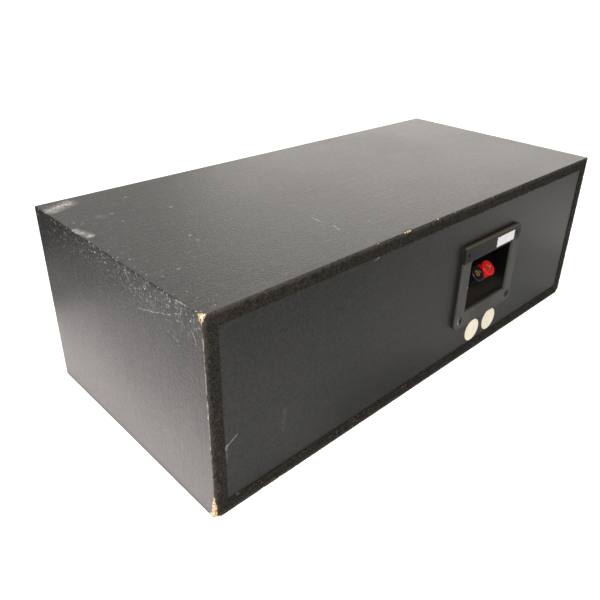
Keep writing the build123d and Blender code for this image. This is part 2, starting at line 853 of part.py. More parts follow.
def crossover_pieces():
    """Board with its coil, capacitors, resistor and screws, standing on the bottom panel."""
    floor = board_thickness
    top = floor + crossover_thickness
    board = Pos(crossover_x, crossover_y, floor + crossover_thickness / 2) * Box(
        crossover_length, crossover_width, crossover_thickness
    )
    screws = []
    for x, y in crossover_screw_places():
        board -= Pos(x, y) * disc(crossover_screw_radius + screw_hole_gap, floor, top)
        screw = turned(
            (0, top + crossover_screw_head_height),
            (crossover_screw_head_radius / 2, top + crossover_screw_head_height),
            (crossover_screw_head_radius, top),
            (crossover_screw_radius, top),
            (crossover_screw_radius, crossover_screw_tip() + screw_fit),
            (0, crossover_screw_tip() + screw_fit),
        )
        screws.append(Pos(x, y) * screw)
    coil_x, coil_y = coil_place
    bobbin = turned(
        (bobbin_bore_radius, top),
        (bobbin_radius, top),
        (bobbin_radius, top + bobbin_flange),
        (bobbin_hub_radius, top + bobbin_flange),
        (bobbin_hub_radius, top + bobbin_height - bobbin_flange),
        (bobbin_radius, top + bobbin_height - bobbin_flange),
        (bobbin_radius, top + bobbin_height),
        (bobbin_bore_radius, top + bobbin_height),
    )
    winding = ring(
        bobbin_radius - winding_margin,
        bobbin_hub_radius + winding_fit,
        top + bobbin_flange + winding_fit,
        top + bobbin_height - bobbin_flange - winding_fit,
    )
    can = Cylinder(capacitor_radius, capacitor_length)
    can = Rot(0, 90, 0) * chamfer(can.edges().filter_by(GeomType.CIRCLE), capacitor_chamfer)
    lift = top + part_gap + capacitor_radius
    capacitors = [Pos(crossover_x + x, crossover_y + y, lift) * can for x, y in capacitor_places]
    resistor_x, resistor_y = resistor_place
    block = Pos(crossover_x + resistor_x, crossover_y + resistor_y, top + resistor_size[2] / 2)
    return {
        "crossover_board": [board],
        "crossover_screws": screws,
        "coil_bobbin": [Pos(crossover_x + coil_x, crossover_y + coil_y) * bobbin],
        "coil_winding": [Pos(crossover_x + coil_x, crossover_y + coil_y) * winding],
        "crossover_capacitors": capacitors,
        "crossover_resistor": [block * Box(*resistor_size)],
    }


def grille_size():
    """Width and height of the frame inside its cloth."""
    border = 2 * (grille_gap + cloth_thickness + cloth_fit)
    return opening_width - border, opening_height - border


def grille_back():
    """How far the frame's back stands off the baffle."""
    return grille_recess - grille_inset - cloth_thickness - cloth_fit - grille_frame_thickness


def peg_places():
    """Pegs at the middle of the frame's four corners."""
    width, height = grille_size()
    reach_x = (width - grille_bar) / 2
    reach_z = (height - grille_bar) / 2
    return [(sx * reach_x, sz * reach_z) for sx in (-1, 1) for sz in (-1, 1)]


def socket_radius():
    """Outside of a grille socket's tube."""
    return peg_radius + socket_gap + socket_wall


def socket_depth():
    """How deep a socket reaches into the baffle."""
    return peg_length + socket_gap + socket_floor


def grille_frame():
    """Plastic bars bevelled round the front: two rails, four uprights between them, four flanged pegs."""
    width, height = grille_size()
    back = Pos(0, 0, grille_back())
    plate = extrude(back * RectangleRounded(width, height, grille_corner), grille_frame_thickness)
    plate = chamfer(plate.faces().sort_by(Axis.Z)[-1].edges(), grille_bevel)
    rail_z = (height - grille_bar) / 2
    end_x = (width - grille_bar) / 2
    rib_x = (tweeter_diameter + driver_gap) / 2
    bay = height - 2 * grille_bar
    outlines = [Pos(0, side * rail_z) * Rectangle(width, grille_bar) for side in (-1, 1)]
    outlines += [Pos(side * end_x, 0) * Rectangle(grille_bar, bay) for side in (-1, 1)]
    outlines += [Pos(side * rib_x, 0) * Rectangle(grille_rib, bay) for side in (-1, 1)]
    bars = [plate & extrude(back * outline, grille_frame_thickness) for outline in outlines]
    peg = disc(peg_radius, -peg_length, grille_back())
    peg += disc(peg_boss_radius, socket_lip_thickness + socket_gap, grille_back())
    pegs = [Pos(x, z) * peg for x, z in peg_places()]
    return [from_front(0, baffle_y, middle_z) * piece for piece in bars + pegs]


def grille_cloth():
    """Cloth tray that follows the frame's front, bevel and sides."""
    width, height = grille_size()
    shells = []
    for grow in (cloth_fit, cloth_fit + cloth_thickness):
        outline = RectangleRounded(width + 2 * grow, height + 2 * grow, grille_corner + grow)
        shell = extrude(Pos(0, 0, grille_back()) * outline, grille_frame_thickness + grow)
        shells.append(chamfer(shell.faces().sort_by(Axis.Z)[-1].edges(), grille_bevel))
    inner, outer = shells
    return from_front(0, baffle_y, middle_z) * (outer - inner)


def grille_sockets():
    """Moulded cups in the baffle that grip the pegs."""
    bore = peg_radius + socket_gap
    socket = turned(
        (0, -socket_depth()),
        (socket_radius(), -socket_depth()),
        (socket_radius(), 0),
        (socket_lip_radius, 0),
        (socket_lip_radius, socket_lip_thickness),
        (bore, socket_lip_thickness),
        (bore, socket_floor - socket_depth()),
        (0, socket_floor - socket_depth()),
    )
    face = from_front(0, baffle_y, middle_z)
    return [face * (Pos(x, z) * socket) for x, z in peg_places()]


def assemble():
    """Every node of the speaker, as lists of solids."""
    nodes = {
        "cabinet_wrap": [cabinet_wrap()],
        "rear_panel": [rear_panel()],
        "front_baffle": [front_baffle()],
        "wadding_mat": [wadding_mat()],
        "terminal_cup": [terminal_cup()],
        "terminal_gasket": [terminal_gasket()],
        "terminal_screws": terminal_screws(),
        "plate_label": [plate_label()],
        "round_stickers": round_stickers(),
        "driver_gaskets": driver_gaskets(),
        "driver_screws": driver_screws(),
        "driver_tags": driver_tags(),
        "grille_frame": grille_frame(),
        "grille_cloth": [grille_cloth()],
        "grille_sockets": grille_sockets(),
        "input_lead_red": [wire(red_lead_route, input_lead_diameter)],
        "input_lead_black": [wire(black_lead_route, input_lead_diameter)],
        "driver_leads": [
            wire(route, driver_lead_diameter)
            for route in (left_woofer_route, right_woofer_route, tweeter_route)
        ],
    }
    posts = post_planes()
    for colour, place in posts.items():
        nodes[f"{colour}_post_stud"] = [place * post_stud()]
        nodes[f"{colour}_post_bush"] = [place * post_bush()]
        nodes[f"{colour}_clamp_washer"] = [place * clamp_washer()]
        nodes[f"{colour}_cap"] = [place * post_cap()]
    nodes["solder_tags"] = [place * solder_tag() for place in posts.values()]
    nodes["post_nuts"] = [place * post_nut() for place in posts.values()]
    nodes.update(crossover_pieces())
    for side, x in (("left", -woofer_x), ("right", woofer_x)):
        seat = from_front(x, baffle_y, middle_z)
        for name, pieces in woofer_pieces().items():
            nodes[f"{side}_{name}"] = [seat * piece for piece in pieces]
    seat = from_front(0, baffle_y, middle_z)
    for name, pieces in tweeter_pieces().items():
        nodes[f"tweeter_{name}"] = [seat * piece for piece in pieces]
    return nodes


os.makedirs("parts", exist_ok=True)
for node, shapes in assemble().items():
    solids = [solid for shape in shapes for solid in shape.solids()]
    export_step(solids[0] if len(solids) == 1 else Compound(solids), f"parts/{node}.step")
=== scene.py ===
import json
import math

import bmesh
import bpy
import numpy as np
from mathutils import Matrix, Vector


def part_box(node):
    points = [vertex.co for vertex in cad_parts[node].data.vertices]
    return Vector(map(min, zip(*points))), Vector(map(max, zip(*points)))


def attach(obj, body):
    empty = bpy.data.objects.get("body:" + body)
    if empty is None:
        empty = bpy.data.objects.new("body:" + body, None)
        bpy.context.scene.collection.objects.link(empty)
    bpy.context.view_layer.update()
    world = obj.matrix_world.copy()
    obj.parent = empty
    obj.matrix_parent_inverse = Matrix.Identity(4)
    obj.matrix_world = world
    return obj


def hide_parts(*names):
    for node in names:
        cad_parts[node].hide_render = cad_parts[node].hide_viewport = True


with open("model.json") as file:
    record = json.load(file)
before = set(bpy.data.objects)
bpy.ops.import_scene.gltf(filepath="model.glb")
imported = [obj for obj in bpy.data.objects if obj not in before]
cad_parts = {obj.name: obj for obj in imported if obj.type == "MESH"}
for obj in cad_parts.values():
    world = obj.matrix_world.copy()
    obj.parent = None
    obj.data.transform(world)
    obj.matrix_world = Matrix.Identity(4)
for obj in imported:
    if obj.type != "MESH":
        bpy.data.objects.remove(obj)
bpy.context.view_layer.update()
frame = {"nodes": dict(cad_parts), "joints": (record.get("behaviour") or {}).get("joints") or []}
nodes = frame["nodes"]


# The cabinet wrap
# A length of particleboard faced with black vinyl, folded round four V-grooves into a tube and glued.
# The vinyl covers the top, the underside and both ends. The cut ends of the board show raw, stained
# black-brown, and the knocked rear corners are worn through to pale fibre.
wrap_low, wrap_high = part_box("cabinet_wrap")
panel_low, panel_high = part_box("rear_panel")
baffle_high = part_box("front_baffle")[1]
half_width, half_height = wrap_high.x, wrap_high.z / 2
front_y, rear_y = wrap_low.y, wrap_high.y
panel_fit = 0.00015
edge_width = half_width - panel_high.x - panel_fit
board_thickness = 0.015
fold_radius = 0.0008
edge_bevel = 0.0003
pit_depth = 0.0004
rear_corner_fibre = {
    (1, 1, 1): (0.0013, 1.0),
    (1, 1, -1): (0.0021, 1.0),
    (-1, 1, -1): (0.0024, 0.12),
    (1, -1, -1): (0.0009, 0.1),
    (-1, -1, 1): (0.0008, 0.1),
}


def graded(length, fine, coarse, reach):
    """Places from 0 to length: fine steps within reach of both ends and coarse steps between."""
    ends = np.arange(0, reach, fine)
    steps = max(1, round((length - 2 * reach) / coarse))
    middle = np.linspace(reach, length - reach, steps + 1)
    return np.concatenate([ends, middle, length - ends[::-1]])


def rounded_loop(half_a, half_b, radius, fine, coarse, reach, arc_steps):
    """Once round a rounded rectangle: spots on its core rectangle (-1 to 1) and outward directions.

    A side's spot is (1, t) with t along the side, and a corner's is (1, 1) with its direction turning
    through a quarter circle. Each of the four turns is the first one rotated by 90 degrees.
    """
    spots, outward = [], []
    for turn in range(4):
        length = 2 * ((half_b if turn % 2 == 0 else half_a) - radius)
        along = graded(length, fine, coarse, reach) / length * 2 - 1
        bend = np.arange(1, arc_steps) / arc_steps * math.pi / 2
        spot = np.concatenate([np.stack([np.ones_like(along), along], 1), np.ones((arc_steps - 1, 2))])
        out = np.concatenate(
            [np.tile([1.0, 0.0], (len(along), 1)), np.stack([np.cos(bend), np.sin(bend)], 1)]
        )
        spin = np.array([[0, 1], [-1, 0]])
        rotate = np.linalg.matrix_power(spin, turn)
        spots.append(spot @ rotate)
        outward.append(out @ rotate)
    return np.concatenate(spots), np.concatenate(outward)


def inset_loop(spots, outward, half_a, half_b, radius, depth):
    """The loop moved inwards by each depth: core corners close in, and arcs shrink to a sharp corner."""
    reach = np.maximum(depth, radius)[None, :]
    left = np.maximum(radius - depth, 0)[None, :]
    across = spots[:, :1] * (half_a - reach) + outward[:, :1] * left
    up = spots[:, 1:] * (half_b - reach) + outward[:, 1:] * left
    return across, up


def lumps(points, size, seed):
    """Smooth random heights from -1 to 1: values on a lattice of that size, eased from cell to cell."""
    cells = 48
    heights = np.random.default_rng(seed).uniform(-1, 1, (cells, cells, cells))
    place = points / size
    base = np.floor(place).astype(int)
    ease = place - base
    ease = ease * ease * (3 - 2 * ease)
    total = np.zeros(points.shape[:-1])
    for corner in np.ndindex(2, 2, 2):
        weight = np.prod(np.where(corner, ease, 1 - ease), axis=-1)
        i, j, k = np.moveaxis((base + corner) % cells, -1, 0)
        total += weight * heights[i, j, k]
    return total


def smooth(value, start, end):
    """0 at start, 1 at end, eased between; start may lie above end."""
    t = np.clip((value - start) / (end - start), 0, 1)
    return t * t * (3 - 2 * t)


def grid_faces(rows, columns, wrap_rows, wrap_columns):
    """Corner indices of every quad of a grid that may close on itself either way."""
    i = np.arange(rows if wrap_rows else rows - 1)
    j = np.arange(columns if wrap_columns else columns - 1)
    i, j = np.meshgrid(i, j, indexing="ij")
    i_next, j_next = (i + 1) % rows, (j + 1) % columns
    corners = [i * columns + j, i_next * columns + j, i_next * columns + j_next, i * columns + j_next]
    return np.stack(corners, -1).reshape(-1, 4)


def make_piece(name, points, faces, sharp_degrees, uv=None, layers=None, slots=None, closed=True):
    """An object from vertex and quad arrays: doubles merged, faces turned outwards, creases kept sharp."""
    mesh = bpy.data.meshes.new(name)
    mesh.from_pydata(points.reshape(-1, 3), [], faces)
    for layer, values in (layers or {}).items():
        attribute = mesh.attributes.new(layer, "FLOAT", "POINT")
        attribute.data.foreach_set("value", values.ravel().astype(np.float32))
    if uv is not None:
        corner_uv = uv.reshape(-1, 2)[faces.ravel()].astype(np.float32)
        mesh.uv_layers.new(name="spread").data.foreach_set("uv", corner_uv.ravel())
    if slots is not None:
        mesh.polygons.foreach_set("material_index", slots)
    shell = bmesh.new()
    shell.from_mesh(mesh)
    bmesh.ops.remove_doubles(shell, verts=shell.verts, dist=1e-7)
    bmesh.ops.dissolve_degenerate(shell, edges=shell.edges, dist=1e-7)
    if closed:
        bmesh.ops.recalc_face_normals(shell, faces=shell.faces)
    shell.to_mesh(mesh)
    shell.free()
    mesh.shade_smooth()
    mesh.set_sharp_from_angle(angle=math.radians(sharp_degrees))
    piece = bpy.data.objects.new(name, mesh)
    bpy.context.scene.collection.objects.link(piece)
    return piece


class Tone:
    """A shader socket. Arithmetic with sockets or numbers adds Math nodes to the same material."""

    def __init__(self, tree, socket):
        self.tree = tree
        self.socket = socket

    def node(self, kind, settings, inputs, output=0):
        """Adds a node: its settings first, then values or links of its sockets."""
        made = self.tree.nodes.new(kind)
        for name, value in settings.items():
            setattr(made, name, value)
        for key, value in inputs.items():
            if isinstance(value, Tone):
                self.tree.links.new(value.socket, made.inputs[key])
            else:
                made.inputs[key].default_value = value
        return Tone(self.tree, made.outputs[output])

    def math(self, operation, first, second):
        return self.node("ShaderNodeMath", {"operation": operation}, {0: first, 1: second})

    def __add__(self, other):
        return self.math("ADD", self, other)

    def __radd__(self, other):
        return self.math("ADD", other, self)

    def __sub__(self, other):
        return self.math("SUBTRACT", self, other)

    def __rsub__(self, other):
        return self.math("SUBTRACT", other, self)

    def __mul__(self, other):
        return self.math("MULTIPLY", self, other)

    def __rmul__(self, other):
        return self.math("MULTIPLY", other, self)

    def __or__(self, other):
        return self.math("MAXIMUM", self, other)


def new_finish(name):
    """A fresh material, its Principled shader and its Object coordinates."""
    material = bpy.data.materials.new(name)
    material.use_nodes = True
    tree = material.node_tree
    coordinates = tree.nodes.new("ShaderNodeTexCoord")
    return material, tree.nodes["Principled BSDF"], Tone(tree, coordinates.outputs["Object"])


def feed(shader, inputs):
    """Sets constant sockets of a shader and links the varying ones."""
    for name, value in inputs.items():
        if isinstance(value, Tone):
            value.tree.links.new(value.socket, shader.inputs[name])
        else:
            shader.inputs[name].default_value = value


def grain(place, scale, detail=2.0, stretch=(1, 1, 1)):
    """Noise about 1/scale across, stretched by dividing its coordinates."""
    sized = place.node("ShaderNodeMapping", {}, {"Vector": place, "Scale": stretch})
    return place.node("ShaderNodeTexNoise", {}, {"Vector": sized, "Scale": scale, "Detail": detail})


def eased(value, start, end):
    """0 at start, 1 at end, smoothly; start may lie above end."""
    settings = {"interpolation_type": "SMOOTHSTEP"}
    return value.node("ShaderNodeMapRange", settings, {0: value, 1: start, 2: end})


def tint(mask, first, second):
    """First colour where the mask is 0, second where it is 1."""
    return mask.node("ShaderNodeMix", {"data_type": "RGBA"}, {0: mask, 6: first, 7: second}, 2)


def relief(height, depth, strength=1.0):
    """Bumped normal from a height of 0 to 1 over that depth in metres."""
    return height.node("ShaderNodeBump", {}, {"Height": height, "Distance": depth, "Strength": strength})


def axes(place):
    """X, Y and Z of the coordinates."""
    return [place.node("ShaderNodeSeparateXYZ", {}, {0: place}, i) for i in range(3)]


def stroke(place, start, end, width, core=0.3):
    """1 on a line between two points, fading from a core to 0 at its width: distance to the line."""
    a, b = Vector(start), Vector(end)
    run = b - a
    from_a = place.node("ShaderNodeVectorMath", {"operation": "SUBTRACT"}, {0: place, 1: a})
    along = place.node("ShaderNodeVectorMath", {"operation": "DOT_PRODUCT"}, {0: from_a, 1: run}, 1)
    share = place.node(
        "ShaderNodeMath",
        {"operation": "MULTIPLY", "use_clamp": True},
        {0: along, 1: 1 / run.length_squared},
    )
    reach = place.node("ShaderNodeVectorMath", {"operation": "SCALE"}, {0: run, "Scale": share})
    apart = place.node("ShaderNodeVectorMath", {"operation": "DISTANCE"}, {0: from_a, 1: reach}, 1)
    return eased(apart, width, width * core)


def wander(place, scale, reach):
    """Coordinates shaken by noise, for lines and edges that aren't ruled."""
    shake = place.node("ShaderNodeTexNoise", {}, {"Vector": place, "Scale": scale}, 1)
    centred = place.node("ShaderNodeVectorMath", {"operation": "SUBTRACT"}, {0: shake, 1: (0.5, 0.5, 0.5)})
    moved = place.node("ShaderNodeVectorMath", {"operation": "SCALE"}, {0: centred, "Scale": 2 * reach})
    return place.node("ShaderNodeVectorMath", {"operation": "ADD"}, {0: place, 1: moved})


wrap_spots, wrap_outward = rounded_loop(
    half_width, half_height, fold_radius, fine=0.0004, coarse=0.0011, reach=0.009, arc_steps=5
)
from_rear = np.array([0.3, 0.6, 1, 1.5, 2.2, 3, 4, 5.5, 7.5, 10, 14, 22, 40, 70]) / 1000
from_front = np.array([0.3, 1, 2.5, 6, 15, 40]) / 1000
raw_depths = np.concatenate([[edge_bevel], np.linspace(0.0008, edge_width, 15)])
outer_y = np.concatenate([front_y + from_front, (rear_y - from_rear)[::-1]])
row_y = np.concatenate(
    [
        outer_y,
        np.full(len(raw_depths), rear_y),
        [panel_low.y, panel_low.y, baffle_high.y, baffle_high.y],
        np.full(len(raw_depths), front_y),
    ]
)
row_depth = np.concatenate(
    [
        np.zeros(len(outer_y)),
        raw_depths,
        [edge_width, board_thickness, board_thickness, edge_width],
        raw_depths[::-1],
    ]
)
wrap_x, wrap_z = inset_loop(wrap_spots, wrap_outward, half_width, half_height, fold_radius, row_depth)
wrap = np.stack([wrap_x, np.broadcast_to(row_y, wrap_x.shape), wrap_z + half_height], -1)

first_raw, last_raw = len(outer_y), len(outer_y) + len(raw_depths)
rear_face = np.zeros(len(row_y))
rear_face[first_raw:last_raw] = 1
front_face = np.zeros(len(row_y))
front_face[-len(raw_depths):] = 1
chips = 0.6 * lumps(wrap, 0.0012, 1) + 0.4 * lumps(wrap, 0.0027, 2)
pit = smooth(-chips, 0.05, 0.5) * (rear_face + front_face)
wrap[..., 1] += pit_depth * pit * (front_face - rear_face)

bare = np.zeros(wrap.shape[:2])
for (end, face, level), (worn, pale) in rear_corner_fibre.items():
    tip = np.array([end * half_width, face * rear_y, half_height * (1 + level)])
    out = np.array([end, face, level]) / math.sqrt(3)
    rise = (wrap - tip) @ out
    ragged = worn * (1 + 0.4 * lumps(wrap, 0.0015, 3))
    wrap -= np.maximum(rise + ragged, 0)[..., None] * out
    bare = np.maximum(bare, pale * smooth(rise, -ragged - 0.0016, -ragged - 0.0002))

# The near rear upright is knocked through at both its corners and chipped between them. Its wear is a
# width on the end face that tapers away from each corner, half as wide on the raw edge.
upright_corners = [(1, 0.0032, 0.0056), (1, 0.0006, 0.010), (-1, 0.0050, 0.0205)]
upright_chips = [(0.0898, 0.0011, 0.0005), (0.081, 0.0012, 0.0004), (0.0585, 0.0011, 0.0005)]
upright_gap = (rear_y - wrap[..., 1]) + 2 * (half_width - wrap[..., 0])
height = wrap[..., 2]
fray = np.full(height.shape, 0.00005)
for level, width, reach in upright_corners:
    fray += width * np.maximum(1 - np.abs(height - half_height * (1 + level)) / reach, 0)
for spot, reach, width in upright_chips:
    fray += width * np.exp(-(((height - spot) / reach) ** 2))
fray *= 1 + 0.6 * lumps(wrap, 0.0017, 4)
bare = np.maximum(bare, smooth(upright_gap, 1.3 * fray + 0.0002, 0.7 * fray))

# Small nicks along the top and bottom rear edges: place along X, height, reach and depth
nicks = [
    (0.0547, 1, 0.0035, 0.0009),
    (0.086, 1, 0.0015, 0.0006),
    (0.020, 1, 0.001, 0.0007),
    (-0.0007, 1, 0.0012, 0.0007),
    (-0.0532, 1, 0.0012, 0.0006),
    (0.187, -1, 0.002, 0.0004),
    (0.172, -1, 0.0014, 0.0004),
]
for x, level, reach, depth in nicks:
    gap = np.hypot(height - half_height * (1 + level), rear_y - wrap[..., 1])
    bite = depth * np.exp(-(((wrap[..., 0] - x) / reach) ** 2)) * (1 + 0.5 * lumps(wrap, 0.0013, 5))
    nick = smooth(gap, 1.6 * depth, 0.3 * depth) * np.maximum(bite, 0)
    wrap[..., 1] -= 0.7 * nick
    wrap[..., 2] -= 0.7 * level * nick
    bare = np.maximum(bare, 0.7 * (level > 0) * smooth(nick, 0.0001, 0.0004))

outline = np.hypot(*np.diff(np.stack([wrap_x[:, 0], wrap_z[:, 0]]), axis=1))
around = np.concatenate([[0], np.cumsum(outline)])
wrap_uv = np.stack(np.broadcast_arrays(around[:, None], row_y[None, :]), -1)
wrap_faces = grid_faces(len(around), len(row_y), True, True)
quad_row = np.tile(np.arange(len(row_y)), len(around))
wrap_slots = ((quad_row >= first_raw - 1) & (quad_row < len(row_y) - 1)).astype(np.int32)
cabinet = make_piece(
    "cabinet_board", wrap, wrap_faces, 38, wrap_uv, {"bare": bare, "pit": pit}, wrap_slots
)
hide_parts("cabinet_wrap")
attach(cabinet, "cabinet")

fibre_tan, fibre_cream, fibre_pit = (0.38, 0.25, 0.12, 1), (0.68, 0.55, 0.36, 1), (0.04, 0.028, 0.016, 1)


def fibre(place):
    """Colour of broken chipboard: cream splinters in tan dust, with dark pits between them."""
    splinters = tint(eased(grain(place, 650, 3), 0.38, 0.58), fibre_tan, fibre_cream)
    return tint(eased(grain(place, 800, 2), 0.54, 0.61), splinters, fibre_pit)


def specks(place, scale, share, size):
    """Dots strewn at random: the middles of that share of cells, each cell 1/scale across."""
    cell = {"Vector": place, "Scale": scale}
    apart = place.node("ShaderNodeTexVoronoi", {}, cell)
    chance = place.node("ShaderNodeSeparateColor", {}, {0: place.node("ShaderNodeTexVoronoi", {}, cell, 1)})
    return eased(apart, size, size * 0.45) * eased(chance, 1 - share, 1.02 - share)


def hairs(place, scale, width, share):
    """Fine curled marks: borders of shaken cells 1/scale across, kept where a slower noise is high."""
    curled = wander(place, 2.2 * scale, 0.35 / scale)
    border = place.node(
        "ShaderNodeTexVoronoi", {"feature": "DISTANCE_TO_EDGE"}, {"Vector": curled, "Scale": scale}
    )
    kept = eased(grain(place, 1.3 * scale, 1), 0.62 - 0.4 * share, 0.66 - 0.4 * share)
    return eased(border, width * scale, 0.3 * width * scale) * kept


def upright_pale_line(place):
    """Pale line along the near rear upright, with gaps, fading out towards the bottom."""
    low, high = (half_width, rear_y, 0.014), (half_width, rear_y, 0.137)
    line = stroke(wander(place, 300, 0.0004), low, high, 0.00055)
    return line * eased(grain(place, 160, 3), 0.3, 0.55) * eased(axes(place)[2], -0.03, 0.12)


vinyl, vinyl_shader, place = new_finish("black_vinyl")
spread = place.node("ShaderNodeUVMap", {"uv_map": "spread"}, {})
x, y, z = axes(place)
top_z = 2 * half_height
streaks = grain(spread, 260, 4, (0.09, 3.0, 1))
pebble = grain(place, 620, 3)
fine = grain(place, 1500, 3)
haze = eased(grain(place, 17, 3), 0.35, 0.7)
knocked_end = eased(x, half_width - 0.0006, half_width - 0.0002)
under_edge = eased(z, 0.116, 0.147) * eased(y, -0.10, 0.04)
dusty = knocked_end * under_edge * 0.8 + eased(x, 0.10, 0.215) * 0.22 + 0.16
strewn = specks(place, 330, 0.5, 0.16) * 0.75 | specks(place, 140, 0.3, 0.085)
by_fold = eased(z, 0.124, 0.144) * eased(x, half_width - 0.02, half_width - 0.002)
peppered = specks(place, 310, 0.55, 0.24) * by_fold * eased(grain(place, 90, 2), 0.3, 0.5) * 0.9
flecks = strewn * eased(grain(place, 55, 2), 0.36, 0.60) * dusty
scribble = hairs(place, 230, 0.0002, 0.3) * knocked_end * under_edge * 0.5
scribble = scribble | hairs(place, 130, 0.00018, 0.1) * 0.14
end_lines = [
    ((0.0361, 0.1235), (0.0481, 0.1267), 0.0005, 0.45),
    ((0.0481, 0.1267), (0.0729, 0.1350), 0.0005, 0.55),
    ((0.0729, 0.1350), (0.0835, 0.1403), 0.0005, 0.5),
    ((0.0835, 0.1403), (0.0851, 0.1447), 0.0005, 0.45),
    ((0.0780, 0.1472), (0.0905, 0.1478), 0.0005, 0.5),
    ((0.0905, 0.1478), (0.1030, 0.1480), 0.0006, 0.75),
    ((0.0690, 0.1227), (0.0808, 0.1197), 0.0004, 0.3),
    ((0.0940, 0.1340), (0.0975, 0.1275), 0.0005, 0.4),
]
top_rubs = [
    ((0.2205, -0.0868), (0.2045, -0.0938), 0.0085, 1.0),
    ((0.2235, -0.0424), (0.2198, -0.0280), 0.0048, 0.8),
    ((0.0875, 0.0428), (0.0887, 0.0542), 0.0011, 0.50),
    ((0.0862, 0.0635), (0.0899, 0.0720), 0.0011, 0.50),
]
top_spots = [
    (0.1990, -0.0540, 0.0060, 0.22),
    (0.1905, -0.0550, 0.0022, 0.45),
    (0.1915, -0.0372, 0.0019, 0.65),
    (0.1665, -0.0790, 0.0027, 0.45),
    (0.1517, -0.0395, 0.0024, 0.55),
    (0.1708, 0.0135, 0.0020, 0.60),
    (0.1710, 0.0232, 0.0024, 0.40),
    (0.2038, 0.0500, 0.0019, 0.60),
]
shaken = wander(place, 150, 0.0011)
marks = flecks | scribble | peppered
for start, end, width, strength in end_lines:
    marks = marks | stroke(shaken, (half_width, *start), (half_width, *end), width) * strength
on_top = eased(z, top_z - 0.0006, top_z - 0.0002)
brushed = on_top * (0.4 + 0.6 * eased(grain(place, 330, 4, (0.5, 1, 1)), 0.34, 0.62))
rubbed_top = 0
for start, end, width, strength in top_rubs:
    rubbed_top = stroke(shaken, (*start, top_z), (*end, top_z), width, core=0) * strength + rubbed_top
for across, deep, size, strength in top_spots:
    spot = {0: shaken, 1: (across, deep, top_z)}
    apart = place.node("ShaderNodeVectorMath", {"operation": "DISTANCE"}, spot, 1)
    rubbed_top = eased(apart, size, 0) * strength + rubbed_top
marks = marks | rubbed_top * brushed
# The pale line along the near rear upright joins the scuffs here.
scuffs_and_pale_line = marks * (0.25 + 0.75 * eased(grain(place, 520, 3), 0.32, 0.58)) | upright_pale_line(place) * 0.4
bare_mark = place.node("ShaderNodeAttribute", {"attribute_name": "bare"}, {}, 2)
gone = eased(bare_mark + grain(place, 600, 2) * 0.3, 0.5, 0.68)
vinyl_deep, vinyl_grey, scuff_grey = (0.011, 0.011, 0.012, 1), (0.040, 0.038, 0.037, 1), (0.58, 0.55, 0.52, 1)
mottled = eased(streaks * 0.5 + pebble * 0.5, 0.40, 0.60) * 0.75 + haze * 0.25
vinyl_colour = tint(mottled, vinyl_deep, vinyl_grey)
vinyl_colour = tint(scuffs_and_pale_line, vinyl_colour, scuff_grey)
feed(
    vinyl_shader,
    {
        "Base Color": tint(gone, vinyl_colour, fibre(place)),
        "Roughness": 0.36 + 0.03 * haze + 0.25 * scuffs_and_pale_line + 0.4 * gone,
        "Specular IOR Level": 0.5,
        "Normal": relief(fine * 0.5 + streaks * 0.25 + pebble * 1.0 + scuffs_and_pale_line * 0.4, 0.00028, 0.85),
    },
)

raw_edge, raw_shader, place = new_finish("raw_board_edge")
pit_mark = place.node("ShaderNodeAttribute", {"attribute_name": "pit"}, {}, 2)
bare_mark = place.node("ShaderNodeAttribute", {"attribute_name": "bare"}, {}, 2)
chip = grain(place, 950, 3)
flake = grain(place, 640, 3)
x, _, z = axes(place)
stained = eased(grain(place, 40, 3), 0.3, 0.7) * eased(z, 0.11, 0.03)
raw_black, raw_brown = (0.002, 0.0018, 0.0013, 1), (0.0175, 0.0138, 0.008, 1)
raw_olive, rim_grey = (0.15, 0.118, 0.07, 1), (0.075, 0.068, 0.058, 1)
side_gap = half_width - place.node("ShaderNodeMath", {"operation": "ABSOLUTE"}, {0: x})
level_gap = half_height - place.node("ShaderNodeMath", {"operation": "ABSOLUTE"}, {0: z - half_height})
outer_gap = place.node("ShaderNodeMath", {"operation": "MINIMUM"}, {0: side_gap, 1: level_gap})
rubbed_rim = eased(outer_gap + (grain(place, 300, 3) - 0.5) * 0.003, 0.0042, 0)
raw_colour = tint(eased(chip, 0.45, 0.58), raw_black, raw_brown)
raw_colour = tint(rubbed_rim * 0.5, raw_colour, rim_grey)
raw_colour = tint(eased(flake, 0.60, 0.69) * (0.14 + 0.6 * stained), raw_colour, raw_olive)
# Painted shade: the pits in the raw edge are darkened.
raw_colour = tint(pit_mark * 0.6, raw_colour, (0.006, 0.005, 0.004, 1))
# The same pale line runs onto the raw edge.
raw_colour = tint(upright_pale_line(place) * 0.4, raw_colour, scuff_grey)
gone = eased(bare_mark + grain(place, 600, 2) * 0.3, 0.5, 0.68)
feed(
    raw_shader,
    {
        "Base Color": tint(gone, raw_colour, fibre(place)),
        "Roughness": 0.75 + 0.2 * pit_mark,
        "Specular IOR Level": 0.2,
        "Normal": relief(chip, 0.0005, 1.0),
    },
)
cabinet.data.materials.append(vinyl)
cabinet.data.materials.append(raw_edge)


# The front baffle
# A particleboard panel let into the front rebate behind the grille, with the driver cut-outs sawn in it.
# It is sprayed matt black before the drivers go in.


def dress(material, *names):
    """Gives CAD nodes a finish."""
    for name in names:
        slots = nodes[name].data.materials
        slots.clear()
        slots.append(material)


sprayed, shader, place = new_finish("sprayed_baffle")
mist = grain(place, 900, 3)
feed(
    shader,
    {
        "Base Color": tint(eased(mist, 0.3, 0.7), (0.013, 0.013, 0.013, 1), (0.028, 0.027, 0.026, 1)),
        "Roughness": 0.75 + 0.15 * mist,
        "Normal": relief(mist, 0.0002, 0.5),
    },
)
dress(sprayed, "front_baffle")


# The wadding
# A mat of loose polyester wadding stapled under the top panel to damp the enclosed air.
# It is soft all over, with lumps and rounded edges, and it just reaches its staples.
mat_low, mat_high = (np.array(corner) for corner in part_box("wadding_mat"))
mat_squareness = 0.28
mat_fluff = 0.0016


